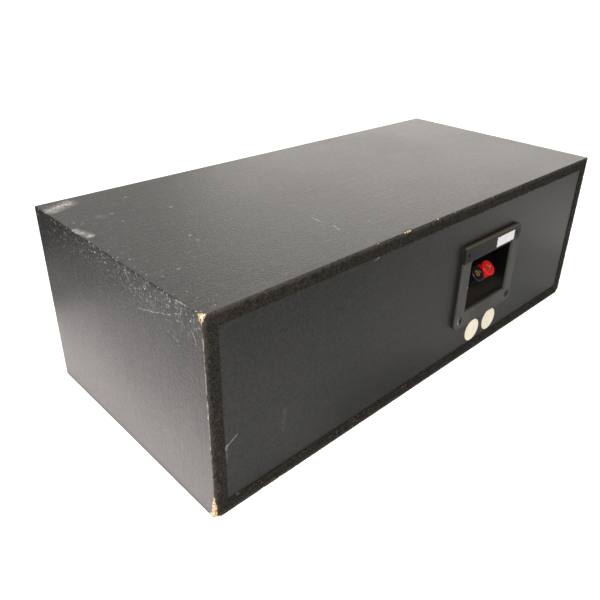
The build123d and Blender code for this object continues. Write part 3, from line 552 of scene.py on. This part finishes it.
def pillow(low, high, power, rows, columns):
    """Rounded box: a sphere's sines and cosines raised to a small power, scaled to the box."""
    up = np.linspace(-math.pi / 2, math.pi / 2, rows)[:, None]
    turn = np.linspace(0, 2 * math.pi, columns, endpoint=False)[None, :]
    squared = lambda wave: np.sign(wave) * np.abs(wave) ** power
    ring = squared(np.cos(up))
    across, deep = ring * squared(np.cos(turn)), ring * squared(np.sin(turn))
    unit = np.stack(np.broadcast_arrays(across, deep, squared(np.sin(up))), -1)
    return (low + high) / 2 + unit * (high - low) / 2


mat = pillow(mat_low + mat_fluff, mat_high - mat_fluff, mat_squareness, 60, 240)
mat_out = (mat - (mat_low + mat_high) / 2) / ((mat_high - mat_low) / 2)
mat += mat_fluff * mat_out * (0.6 * lumps(mat, 0.009, 6) + 0.4 * lumps(mat, 0.022, 7))[..., None]
wadding = make_piece("wadding_pad", mat, grid_faces(60, 240, False, True), 60)
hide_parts("wadding_mat")
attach(wadding, "cabinet")
fluff, shader, place = new_finish("wadding_fluff")
strand = grain(wander(place, 60, 0.01), 420, 5, (1, 0.3, 1))
feed(
    shader,
    {
        "Base Color": tint(eased(strand, 0.3, 0.7), (0.55, 0.55, 0.53, 1), (0.82, 0.82, 0.8, 1)),
        "Roughness": 0.95,
        "Sheen Weight": 0.4,
        "Normal": relief(strand, 0.002, 0.8),
    },
)
wadding.data.materials.append(fluff)


# The crossover
# A phenolic board screwed to the bottom panel, carrying an air-cored coil on a moulded bobbin, two film
# capacitors and a cement resistor, all bedded in place.


def moulded(name, deep, pale, roughness, texture=1800):
    """Moulded plastic with a fine eroded texture: a deep and a pale tone of its colour."""
    material, shader, place = new_finish(name)
    skin = grain(place, texture, 2)
    patch = grain(place, 35, 3)
    feed(
        shader,
        {
            "Base Color": tint(eased(skin * 0.4 + patch * 0.6, 0.35, 0.65), deep, pale),
            "Roughness": roughness + 0.12 * patch,
            "Normal": relief(skin, 0.00008, 0.35),
        },
    )
    return material


def plated(name, deep, pale, roughness, stretch=(1, 1, 1)):
    """Plated or bare metal with faint tool marks and tarnish."""
    material, shader, place = new_finish(name)
    marks = grain(place, 900, 3, stretch)
    tarnish = eased(grain(place, 120, 3), 0.45, 0.75)
    feed(
        shader,
        {
            "Base Color": tint(tarnish, pale, deep),
            "Metallic": 1.0,
            "Roughness": roughness + 0.18 * tarnish + 0.08 * marks,
            "Normal": relief(marks, 0.00004, 0.4),
        },
    )
    return material


def wound(name, deep, pale, axis, turns_per_metre):
    """Enamelled wire laid side by side: bands across the winding's axis."""
    material, shader, place = new_finish(name)
    band = place.node(
        "ShaderNodeTexWave",
        {"bands_direction": axis},
        {"Vector": place, "Scale": turns_per_metre / 3.18, "Distortion": 0.6},
        1,
    )
    feed(
        shader,
        {
            "Base Color": tint(band, deep, pale),
            "Metallic": 0.9,
            "Roughness": 0.34 + 0.2 * grain(place, 300, 2),
            "Normal": relief(band, 0.0002, 0.7),
        },
    )
    return material


phenolic, shader, place = new_finish("phenolic_board")
mottle = grain(place, 150, 4, (1, 0.4, 1))
feed(
    shader,
    {
        "Base Color": tint(eased(mottle, 0.3, 0.7), (0.20, 0.12, 0.05, 1), (0.34, 0.22, 0.10, 1)),
        "Roughness": 0.42 + 0.2 * mottle,
        "Coat Weight": 0.2,
        "Normal": relief(mottle, 0.0001, 0.4),
    },
)
black_moulding = moulded("black_moulding", (0.012, 0.012, 0.012, 1), (0.024, 0.024, 0.024, 1), 0.42)
film = moulded("capacitor_film", (0.03, 0.07, 0.20, 1), (0.05, 0.11, 0.28, 1), 0.22, 300)
cement = moulded("resistor_cement", (0.52, 0.51, 0.47, 1), (0.68, 0.67, 0.63, 1), 0.8, 700)
zinc = plated("zinc_steel", (0.33, 0.33, 0.33, 1), (0.62, 0.62, 0.63, 1), 0.3)
coil_copper = wound("coil_copper", (0.30, 0.10, 0.04, 1), (0.75, 0.36, 0.17, 1), "Z", 1100)
dress(phenolic, "crossover_board")
dress(black_moulding, "coil_bobbin")
dress(coil_copper, "coil_winding")
dress(film, "crossover_capacitors")
dress(cement, "crossover_resistor")
dress(zinc, "crossover_screws")


# The leads
# Stranded leads in soft sleeves, soldered between the posts, the crossover and the drivers.
# They are held at both ends and lie inside the closed box.
red_sleeve = moulded("red_sleeve", (0.34, 0.015, 0.015, 1), (0.5, 0.03, 0.025, 1), 0.4, 500)
black_sleeve = moulded("black_sleeve", (0.012, 0.012, 0.012, 1), (0.03, 0.03, 0.03, 1), 0.45, 500)
dress(red_sleeve, "input_lead_red")
dress(black_sleeve, "input_lead_black", "driver_leads")


# The woofers
# Two shielded drivers: a pressed steel basket, a pulp cone with its dust cap, a rubber roll surround,
# a doped cloth spider, a copper voice coil, and a magnet stack inside a zinc-plated can.


def pulp(name, deep, pale, roughness):
    """Felted paper fibres."""
    material, shader, place = new_finish(name)
    fibres = grain(wander(place, 90, 0.004), 520, 5)
    feed(
        shader,
        {
            "Base Color": tint(eased(fibres, 0.32, 0.68), deep, pale),
            "Roughness": roughness + 0.1 * fibres,
            "Normal": relief(fibres, 0.0004, 0.6),
        },
    )
    return material


pressed = moulded("pressed_steel_paint", (0.012, 0.012, 0.013, 1), (0.026, 0.026, 0.027, 1), 0.36, 1100)
rubber = moulded("surround_rubber", (0.010, 0.010, 0.010, 1), (0.02, 0.02, 0.02, 1), 0.62, 2200)
cone_pulp = pulp("cone_pulp", (0.014, 0.014, 0.014, 1), (0.05, 0.049, 0.047, 1), 0.75)
doped_cloth = pulp("spider_cloth", (0.38, 0.26, 0.09, 1), (0.62, 0.47, 0.22, 1), 0.8)
voice_copper = wound("voice_coil_copper", (0.28, 0.09, 0.03, 1), (0.72, 0.34, 0.16, 1), "Y", 2400)
ferrite = moulded("ferrite", (0.022, 0.022, 0.023, 1), (0.05, 0.05, 0.052, 1), 0.7, 800)
can_zinc = plated("can_zinc", (0.42, 0.38, 0.28, 1), (0.66, 0.63, 0.52, 1), 0.32)
for side in ("left", "right"):
    dress(pressed, f"{side}_frame")
    dress(rubber, f"{side}_surround")
    dress(cone_pulp, f"{side}_cone", f"{side}_dust_cap")
    dress(doped_cloth, f"{side}_spider")
    dress(voice_copper, f"{side}_voice_coil")
    dress(ferrite, f"{side}_magnets")
    dress(zinc, f"{side}_top_plate", f"{side}_yoke")
    dress(can_zinc, f"{side}_shield_can")


# The tweeter
# A moulded faceplate round a pressed cloth dome, with its own small voice coil and ferrite motor behind.
dome_cloth, shader, place = new_finish("dome_cloth")
threads = grain(place, 2600, 2)
feed(
    shader,
    {
        "Base Color": tint(eased(threads, 0.35, 0.65), (0.012, 0.012, 0.015, 1), (0.04, 0.04, 0.045, 1)),
        "Roughness": 0.55 + 0.2 * threads,
        "Sheen Weight": 0.25,
        "Normal": relief(threads, 0.0001, 0.5),
    },
)
dress(dome_cloth, "tweeter_dome")
dress(black_moulding, "tweeter_faceplate")
dress(voice_copper, "tweeter_voice_coil")
dress(zinc, "tweeter_top_plate", "tweeter_yoke")
dress(ferrite, "tweeter_magnet")


# Driver gaskets, screws and tags
# Foam rings seal each flange to the baffle, black pan-head screws pull it down, and tinned brass blades
# take the leads.
foam, shader, place = new_finish("gasket_foam")
cells = place.node("ShaderNodeTexVoronoi", {}, {"Vector": place, "Scale": 1600})
feed(
    shader,
    {
        "Base Color": tint(cells, (0.035, 0.035, 0.035, 1), (0.01, 0.01, 0.01, 1)),
        "Roughness": 0.95,
        "Normal": relief(cells, 0.0003, 0.6),
    },
)
tinned = plated("tinned_brass", (0.45, 0.40, 0.28, 1), (0.72, 0.70, 0.64, 1), 0.32)
black_screw = plated("black_screw_steel", (0.008, 0.008, 0.008, 1), (0.035, 0.034, 0.033, 1), 0.35)
dress(foam, "driver_gaskets", "terminal_gasket")
dress(black_screw, "driver_screws")
dress(tinned, "driver_tags", "solder_tags")


# The rear panel
# A black foil-faced board let into the rear rebate just below the raw edge. The brushed-on edge stain
# runs a little over its margin, and the foil has a few scratches, a dull streak and specks of dust.
foil, shader, place = new_finish("rear_foil")
x, _, z = axes(place)
skin = grain(place, 700, 3)
cloud = grain(place, 14, 3)
side_gap = panel_high.x - place.node("ShaderNodeMath", {"operation": "ABSOLUTE"}, {0: x})
middle_gap = place.node("ShaderNodeMath", {"operation": "ABSOLUTE"}, {0: z - half_height})
level_gap = (panel_high.z - half_height) - middle_gap
margin = place.node("ShaderNodeMath", {"operation": "MINIMUM"}, {0: side_gap, 1: level_gap})
# Painted shade: towards the bottom edge the stained margin is widened by a few millimetres, darkening the
# foil there.
low_painted_shade = eased(z, panel_low.z + 0.005, panel_low.z)
stain_and_low_shade = eased(margin + (grain(place, 260, 4) - 0.5) * 0.0055 - 0.0012 * low_painted_shade, 0.0012, 0.0002)
rear_strokes = [
    ((0.2145, panel_high.y, 0.0500), (0.2125, panel_high.y, 0.0533), 0.0016, 0.45),
    ((0.2125, panel_high.y, 0.0533), (0.2052, panel_high.y, 0.0570), 0.0011, 0.36),
    ((0.2147, panel_high.y, 0.0418), (0.2143, panel_high.y, 0.0495), 0.0022, 0.34),
    ((0.0882, panel_high.y, 0.1353), (0.0833, panel_high.y, 0.1367), 0.0008, 0.4),
    ((0.1683, panel_high.y, 0.0393), (0.1675, panel_high.y, 0.0553), 0.0030, 0.05),
]
shaken = wander(place, 140, 0.0008)
dust = specks(place, 120, 0.16, 0.06) * 0.3
for start, end, width, strength in rear_strokes:
    dust = dust | stroke(shaken, start, end, width, core=0) * strength * eased(grain(place, 420, 3), 0.3, 0.6)
foil_colour = tint(eased(cloud, 0.3, 0.7), (0.008, 0.0085, 0.008, 1), (0.011, 0.011, 0.0105, 1))
foil_colour = tint(eased(skin, 0.36, 0.64) * 0.5, foil_colour, (0.028, 0.027, 0.026, 1))
foil_colour = tint(dust, foil_colour, (0.42, 0.40, 0.36, 1))
feed(
    shader,
    {
        "Base Color": tint(stain_and_low_shade * 0.9, foil_colour, (0.013, 0.011, 0.008, 1)),
        "Roughness": 0.38 + 0.04 * cloud + 0.3 * stain_and_low_shade,
        "Specular IOR Level": 0.32,
        "Normal": relief(skin, 0.00016, 0.6),
    },
)
dress(foil, "rear_panel")


# The terminal cup and its screws
# A moulded plate with a recess, screwed over a foam frame into the cut-out of the rear panel. Four black
# countersunk cross-head screws hold it; one head is rubbed bright.
cup_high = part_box("terminal_cup")[1]
label_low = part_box("plate_label")[0]
cup_plastic, shader, place = new_finish("cup_plastic")
_, y, z = axes(place)
skin = grain(place, 2200, 2)
patch = grain(place, 35, 3)
on_face = eased(y, cup_high.y - 0.0030, cup_high.y - 0.0012)
printed_band = on_face * eased(z, label_low.z - 0.0018, label_low.z - 0.0012)
rim_wear = eased(z + grain(place, 400, 3) * 0.0012, cup_high.z - 0.0009, cup_high.z - 0.0001) * on_face
nick = stroke(place, (-0.0306, cup_high.y, 0.0750), (-0.0332, cup_high.y, 0.0756), 0.0007)
shade = eased(skin * 0.4 + patch * 0.6, 0.35, 0.65)
face_tone = tint(shade, (0.048, 0.048, 0.045, 1), (0.072, 0.072, 0.068, 1))
# Painted shade: the recess and the plate's side walls are painted near black, with dust towards the bottom of
# the recess; the face keeps the plastic's own grey.
recess_shade, recess_dust = (0.0018, 0.0018, 0.0018, 1), (0.014, 0.012, 0.010, 1)
recess_shade_and_dust = tint(eased(z + patch * 0.01, 0.072, 0.058), recess_shade, recess_dust)
band_tone = tint(shade, (0.005, 0.004, 0.003, 1), (0.010, 0.008, 0.006, 1))
cup_tone = tint(printed_band, tint(on_face, recess_shade_and_dust, face_tone), band_tone)
cup_tone = tint(rim_wear * 0.6, cup_tone, (0.11, 0.085, 0.055, 1))
feed(
    shader,
    {
        "Base Color": tint(nick, cup_tone, (0.75, 0.74, 0.72, 1)),
        "Roughness": 0.30 + 0.16 * on_face - 0.14 * printed_band + 0.08 * patch,
        "Specular IOR Level": 0.14,
        "Normal": relief(skin, 0.00008, 0.35),
    },
)
dress(cup_plastic, "terminal_cup")
screw_points = np.array([vertex.co for vertex in nodes["terminal_screws"].data.vertices])
head_y = screw_points[:, 1].max()
tip_y = screw_points[:, 1].min()
head_radius, shank_radius = 0.0036, 0.00175
cross_half_width, cross_reach, cross_depth = 0.00042, 0.0021, 0.0012
screw_low, screw_high = screw_points.min(0), screw_points.max(0)
screw_places = [
    (screw_low[0] + head_radius, screw_low[2] + head_radius, 0.3),
    (screw_high[0] - head_radius, screw_low[2] + head_radius, 1.0),
    (screw_low[0] + head_radius, screw_high[2] - head_radius, 0.7),
    (screw_high[0] - head_radius, screw_high[2] - head_radius, 1.3),
]


def countersunk(places, spokes=96):
    """Screws turned about +Y: a disc with a cross sunk in it, a 45 degree cone, a shank and a point."""
    face = np.linspace(0, head_radius, 28)
    side = np.array([shank_radius, shank_radius, 0.0])
    radius = np.concatenate([face, side])[None, :]
    under = head_radius - shank_radius
    length = head_y - tip_y
    drop = np.concatenate([np.zeros(len(face)), [under, length - shank_radius, length]])[None, :]
    turn = np.linspace(0, 2 * math.pi, spokes, endpoint=False)[:, None]
    u, v = radius * np.cos(turn), radius * np.sin(turn)
    arm = np.minimum(np.abs(u), np.abs(v))
    long = np.maximum(np.abs(u), np.abs(v))
    cross = smooth(arm, cross_half_width + 0.00012, cross_half_width - 0.00008)
    cross *= smooth(long, cross_reach, cross_reach - 0.0004) * (1 - 0.45 * long / cross_reach)
    drop = drop + cross_depth * cross * (np.arange(radius.shape[1]) < len(face))
    screws = []
    for x, z, angle in places:
        c, s = math.cos(angle), math.sin(angle)
        screws.append(np.stack([x + c * u - s * v, head_y - drop, z + s * u + c * v], -1))
    faces = grid_faces(spokes, radius.shape[1], True, False)
    count = screws[0].shape[0] * screws[0].shape[1]
    return np.stack(screws), np.concatenate([faces + i * count for i in range(len(screws))])


screw_grid, screw_faces = countersunk(screw_places)
rubbed = np.zeros(screw_grid.shape[:3])
rubbed[1] = smooth(screw_grid[1][..., 0], screw_places[1][0] - 0.0005, screw_places[1][0] + 0.0025)
cup_screws = make_piece("cup_screws", screw_grid, screw_faces, 40, layers={"rubbed": rubbed})
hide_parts("terminal_screws")
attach(cup_screws, "cabinet")
cup_screw_steel, shader, place = new_finish("cup_screw_steel")
bright = place.node("ShaderNodeAttribute", {"attribute_name": "rubbed"}, {}, 2)
scrape = eased(grain(place, 700, 3), 0.4, 0.6) * bright
feed(
    shader,
    {
        "Base Color": tint(scrape, (0.012, 0.012, 0.012, 1), (0.62, 0.60, 0.56, 1)),
        "Metallic": 0.75,
        "Roughness": 0.42 + 0.1 * grain(place, 900, 2),
        "Normal": relief(grain(place, 1500, 2), 0.00005, 0.4),
    },
)
cup_screws.data.materials.append(cup_screw_steel)


# The binding posts
# Gold-plated turned studs through coloured bushes in the sloped wall, each with a loose washer and a
# screw-down cap: clear-toned red for one pole and black for the other. A nut holds each from behind.
joints = {joint["name"]: joint for joint in frame["joints"]}
gold = plated("gold_plate", (0.52, 0.36, 0.13, 1), (0.92, 0.70, 0.32, 1), 0.33)
red_gloss = moulded("red_gloss", (0.42, 0.004, 0.008, 1), (0.60, 0.010, 0.016, 1), 0.16, 900)
black_gloss = moulded("black_gloss", (0.003, 0.003, 0.003, 1), (0.007, 0.007, 0.007, 1), 0.22, 900)
flute_count, flute_depth, rim_round = 10, 0.0005, 0.0006


def cap_surface(bore, radius, low, high, spokes=160):
    """Cap about its own axis: a closed profile of radius and height, its outer wall cut by flutes.

    The flutes are a cosine of the turn raised to the fourth power, fading out below the plain rim.
    """
    arc = np.linspace(0, math.pi / 2, 7)
    bend = rim_round * np.stack([np.cos(arc), np.sin(arc)], 1)
    rim = np.array([radius - rim_round, high - rim_round]) + bend
    foot = np.array([[bore, low], [radius - 0.0002, low], [radius, low + 0.0002]])
    wall = np.stack([np.full(14, radius), np.linspace(low + 0.0006, high - 0.0012, 14)], 1)
    mouth = np.array([[bore + 0.0004, high], [bore, high - 0.0004], [bore, (low + high) / 2]])
    profile = np.concatenate([foot, wall, rim, mouth])
    turn = np.linspace(0, 2 * math.pi, spokes, endpoint=False)[:, None]
    groove = (0.5 + 0.5 * np.cos(flute_count * (turn + math.pi / flute_count))) ** 4
    outer = smooth(profile[:, 0], radius - 0.0015, radius - 0.0003)
    outer = outer * smooth(profile[:, 1], high - 0.0020, high - 0.0028)
    reach = profile[:, 0] - flute_depth * groove * outer
    return np.stack(
        np.broadcast_arrays(reach * np.cos(turn), reach * np.sin(turn), profile[:, 1]), -1
    )


for pole, gloss in (("red", red_gloss), ("black", black_gloss)):
    post = joints[f"{pole}_cap_turn"]
    axis, seat = np.array(post["axis"]), np.array(post["pos_m"])
    points = np.array([vertex.co for vertex in nodes[f"{pole}_cap"].data.vertices]) - seat
    along = points @ axis
    apart = np.linalg.norm(points - along[:, None] * axis, axis=1)
    cap = cap_surface(apart.min(), apart.max(), along.min(), along.max())
    across = np.array([1.0, 0, 0])
    placed = seat + cap @ np.stack([across, np.cross(axis, across), axis])
    faces = grid_faces(cap.shape[0], cap.shape[1], True, True)
    piece = make_piece(f"{pole}_screw_cap", placed, faces, 45)
    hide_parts(f"{pole}_cap")
    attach(piece, f"{pole}_cap")
    piece.data.materials.append(gloss)
    dress(gloss, f"{pole}_post_bush")
    dress(gold, f"{pole}_post_stud", f"{pole}_clamp_washer")
dress(zinc, "post_nuts")


# The label and the round stickers
# A bare white paper label on the plate, and two cream paper dots pressed on the panel below it.


def paper(name, deep, pale, soil):
    """Matt paper with faint fibres, creases and handling marks."""
    material, shader, place = new_finish(name)
    fibres = grain(place, 900, 4)
    crease = grain(place, 160, 3, (1, 1, 0.3))
    smudge = eased(grain(place, 90, 3), 0.52, 0.75) * soil
    feed(
        shader,
        {
            "Base Color": tint(smudge, tint(eased(crease, 0.3, 0.7), pale, deep), (0.45, 0.40, 0.30, 1)),
            "Roughness": 0.7 + 0.15 * fibres,
            "Normal": relief(fibres * 0.4 + crease * 0.6, 0.0002, 0.5),
        },
    )
    return material


dress(paper("label_paper", (0.66, 0.66, 0.66, 1), (0.78, 0.78, 0.78, 1), 0.15), "plate_label")
dress(paper("sticker_paper", (0.83, 0.76, 0.59, 1), (0.92, 0.85, 0.69, 1), 0.12), "round_stickers")


# The grille
# A frame of bars with flanged pegs that press into sockets in the baffle, covered with black knitted
# cloth that is stretched over the front and glued round its sides.
cloth_low, cloth_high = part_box("grille_cloth")
cloth_half = ((cloth_high.x - cloth_low.x) / 2, (cloth_high.z - cloth_low.z) / 2)
cloth_corner = 0.0049
cloth_bevel = 0.002
cloth_thickness = 0.0007
cloth_sag = 0.0006
cloth_spots, cloth_outward = rounded_loop(
    cloth_half[0], cloth_half[1], cloth_corner, fine=0.002, coarse=0.004, reach=0.01, arc_steps=7
)
side_depth = np.linspace(cloth_high.y, cloth_low.y + cloth_bevel, 5)
bevel_turn = np.linspace(0, math.pi / 2, 6)[1:]
ring_in = np.concatenate(
    [
        np.zeros(len(side_depth)),
        cloth_bevel * (1 - np.cos(bevel_turn)),
        np.linspace(cloth_bevel + 0.002, cloth_half[1], 22),
    ]
)
ring_y = np.concatenate(
    [
        side_depth,
        cloth_low.y + cloth_bevel * (1 - np.sin(bevel_turn)),
        np.full(22, cloth_low.y),
    ]
)
cloth_x, cloth_z = inset_loop(cloth_spots, cloth_outward, *cloth_half, cloth_corner, ring_in)
bays = [(-0.1330, 0.0680), (0.0, 0.0570), (0.1330, 0.0680)]
bay_half_height, bay_fade = 0.0501, 0.02
within = smooth(np.abs(cloth_z), bay_half_height, bay_half_height - bay_fade)
dip = sum(smooth(np.abs(cloth_x - middle), reach, reach - bay_fade) * within for middle, reach in bays)
cloth = np.stack([cloth_x, ring_y + cloth_sag * dip, cloth_z + half_height], -1)
spread_out = (ring_y - cloth_low.y)[None, :, None] * cloth_outward[:, None, :]
cloth_uv = np.stack([cloth_x, cloth_z], -1) + spread_out
grille = make_piece(
    "grille_knit", cloth, grid_faces(*cloth_x.shape, True, False), 60, cloth_uv, closed=False
)
backing = grille.modifiers.new("cloth", "SOLIDIFY")
backing.thickness = cloth_thickness
backing.offset = -1
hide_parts("grille_cloth")
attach(grille, "grille")
knit, shader, place = new_finish("grille_knit")
spread = place.node("ShaderNodeUVMap", {"uv_map": "spread"}, {})
wale = spread.node("ShaderNodeTexWave", {"bands_direction": "X"}, {"Vector": spread, "Scale": 280.0}, 1)
course = spread.node("ShaderNodeTexWave", {"bands_direction": "Y"}, {"Vector": spread, "Scale": 280.0}, 1)
loops = wale * course
feed(
    shader,
    {
        "Base Color": tint(loops, (0.006, 0.006, 0.006, 1), (0.026, 0.026, 0.027, 1)),
        "Roughness": 0.85 + 0.1 * loops,
        "Sheen Weight": 0.15,
        "Normal": relief(loops, 0.0004, 0.8),
    },
)
grille.data.materials.append(knit)
dress(black_moulding, "grille_frame", "grille_sockets")


# The studio
# A pale floor that runs up to white, a soft box by the camera, a broad soft lamp on the far side and one
# overhead, low reflectors by both ends, and dark flags, two of them soft-edged, that only show in
# reflections. One soft flag is a painted shadow: a dark patch on the floor along the rear foot.


def card(name, corners, material):
    """A flat staged card between four corners."""
    mesh = bpy.data.meshes.new(name)
    mesh.from_pydata(corners, [], [[0, 1, 2, 3]])
    mesh.materials.append(material)
    staged = bpy.data.objects.new(name, mesh)
    bpy.context.scene.collection.objects.link(staged)
    return staged


def ray_kinds(tree):
    """Whether a camera or transmission ray, or a glossy ray, has come to the surface."""
    rays = tree.nodes.new("ShaderNodeLightPath")
    seen = Tone(tree, rays.outputs["Is Camera Ray"]) | Tone(tree, rays.outputs["Is Transmission Ray"])
    return seen, Tone(tree, rays.outputs["Is Glossy Ray"])


floor_reach = 6.0
floor_paint, shader, place = new_finish("floor_paint")
seen, glossy = ray_kinds(floor_paint.node_tree)
feed(
    shader,
    {
        "Base Color": tint(grain(place, 3, 2), (0.66, 0.66, 0.66, 1), (0.68, 0.68, 0.68, 1)),
        "Roughness": 0.9,
        "Specular IOR Level": 0.1,
        "Emission Color": tint(seen * 0.82 | glossy * 0.1, (0, 0, 0, 1), (1, 1, 1, 1)),
        "Emission Strength": 1.0,
    },
)
card("floor", np.array([[-1, -1, 0], [1, -1, 0], [1, 1, 0], [-1, 1, 0]]) * floor_reach, floor_paint)


def black_cloth(name):
    """Matt black cloth for a flag."""
    material, shader, place = new_finish(name)
    weave = tint(grain(place, 40, 2), (0.01, 0.01, 0.01, 1), (0.02, 0.02, 0.02, 1))
    feed(shader, {"Base Color": weave, "Roughness": 0.9})
    return material, shader, place


def floor_patch(low_x, high_x, low_y, high_y):
    """Corners of a rectangle just above the floor."""
    lift = 0.0005
    return [(low_x, low_y, lift), (high_x, low_y, lift), (high_x, high_y, lift), (low_x, high_y, lift)]


flag_cloth = black_cloth("flag_cloth")[0]
soft_flag, shader, place = black_cloth("soft_flag")
x, y, _ = axes(place)
# Painted shadow: the soft flag along the rear foot is darkest in a pool behind the panel and along the foot,
# standing in for the box's shadow on the floor as the panel reflects it.
pool_x, pool_y, pool_half_width, pool_half_depth = 0.045, 0.118, 0.1, 0.0357
across, out = (x - pool_x) * (1 / pool_half_width), (y - pool_y) * (1 / pool_half_depth)
shadow_pool = eased(across * across + out * out, 1, 0)
foot_shadow = eased(y, 0.124, 0.106) * eased(x, 0.26, 0.24) * 0.5
off_end = eased(x, 0.305, 0.345) * eased(y, -0.06, -0.22) * 0.5
feed(shader, {"Alpha": shadow_pool * 0.55 | foot_shadow | off_end})
flags = {
    "end_flag": (flag_cloth, [(0.2, -0.35, 0), (0.8, -0.35, 0), (0.8, -0.35, 0.3), (0.2, -0.35, 0.3)]),
    "floor_flag": (flag_cloth, floor_patch(-0.22, 0.14, 0.27, 0.5)),
    "post_flag": (flag_cloth, [(-1.4, 0.1, 0.12), (-0.3, 1.2, 0.12), (-0.3, 1.2, 1.1), (-1.4, 0.1, 1.1)]),
    "foot_shadow_flag": (soft_flag, floor_patch(-0.22, 0.22, 0.106, 0.16)),
    "off_end_flag": (soft_flag, floor_patch(0.28, 0.5, -0.35, -0.05)),
}
for name, (cloth_finish, corners) in flags.items():
    flag = card(name, corners, cloth_finish)
    flag.visible_camera = flag.visible_diffuse = flag.visible_shadow = flag.visible_transmission = False

world = bpy.data.worlds.new("studio")
bpy.context.scene.world = world
world.use_nodes = True
world_tree = world.node_tree
seen, glossy = ray_kinds(world_tree)
sky = tint(glossy, tint(seen, (0.30, 0.30, 0.30, 1), (1, 1, 1, 1)), (0.90, 0.87, 0.82, 1))
world_tree.links.new(sky.socket, world_tree.nodes["Background"].inputs["Color"])


def soft_lamp(name, place, target, size, power, colour):
    """A rectangular area lamp at a place, facing a target and hidden from the camera."""
    data = bpy.data.lights.new(name, "AREA")
    data.shape = "RECTANGLE"
    data.size, data.size_y = size
    data.energy = power
    data.color = colour
    lamp = bpy.data.objects.new(name, data)
    aim = Vector(target) - Vector(place)
    lamp.matrix_world = Matrix.Translation(place) @ aim.to_track_quat("-Z", "Y").to_matrix().to_4x4()
    lamp.visible_camera = False
    bpy.context.scene.collection.objects.link(lamp)


soft_lamp("camera_side", (0.60, 0.60, 0.55), (-0.05, 0.1, 0.08), (0.45, 0.45), 10.5, (1.0, 0.98, 0.95))
soft_lamp("far_window", (-1.95, -1.33, 0.62), (0, 0, 0.1), (2.2, 1.1), 12.6, (1.0, 0.945, 0.875))
soft_lamp("overhead", (-0.1, -0.1, 1.7), (0, 0, 0), (1.6, 1.6), 9, (1.0, 0.98, 0.95))
soft_lamp("low_reflector", (0.252, -0.02, 0.001), (0.252, -0.02, 1.0), (0.053, 0.38), 0.10, (1.0, 0.89, 0.86))
soft_lamp("far_reflector", (-0.46, 0.22, 0.001), (-0.46, 0.22, 1.0), (0.26, 0.2), 0.10, (1.0, 0.90, 0.80))

photo_side = 600
focal_pixels = 618.5
axis_pixel = (319.4, 280.7)
azimuth, elevation, roll = (math.radians(angle) for angle in (134.8, 27.55, 1.75))
camera_place = Vector((0.3756, 0.3382, 0.3125))
back = Vector(
    (
        math.sin(azimuth) * math.cos(elevation),
        -math.cos(azimuth) * math.cos(elevation),
        math.sin(elevation),
    )
)
level_right = (-back).cross(Vector((0, 0, 1))).normalized()
level_up = level_right.cross(-back)
right = math.cos(roll) * level_right + math.sin(roll) * level_up
up = -math.sin(roll) * level_right + math.cos(roll) * level_up
lens = bpy.data.cameras.new("photo_camera")
lens.lens = focal_pixels / photo_side * lens.sensor_width
lens.shift_x = (photo_side / 2 - axis_pixel[0]) / photo_side
lens.shift_y = (axis_pixel[1] - photo_side / 2) / photo_side
camera = bpy.data.objects.new("photo_camera", lens)
facing = Matrix((right, up, back)).transposed().to_4x4()
camera.matrix_world = Matrix.Translation(camera_place) @ facing
bpy.context.scene.collection.objects.link(camera)
bpy.context.scene.camera = camera
bpy.context.scene.view_settings.view_transform = "Standard"
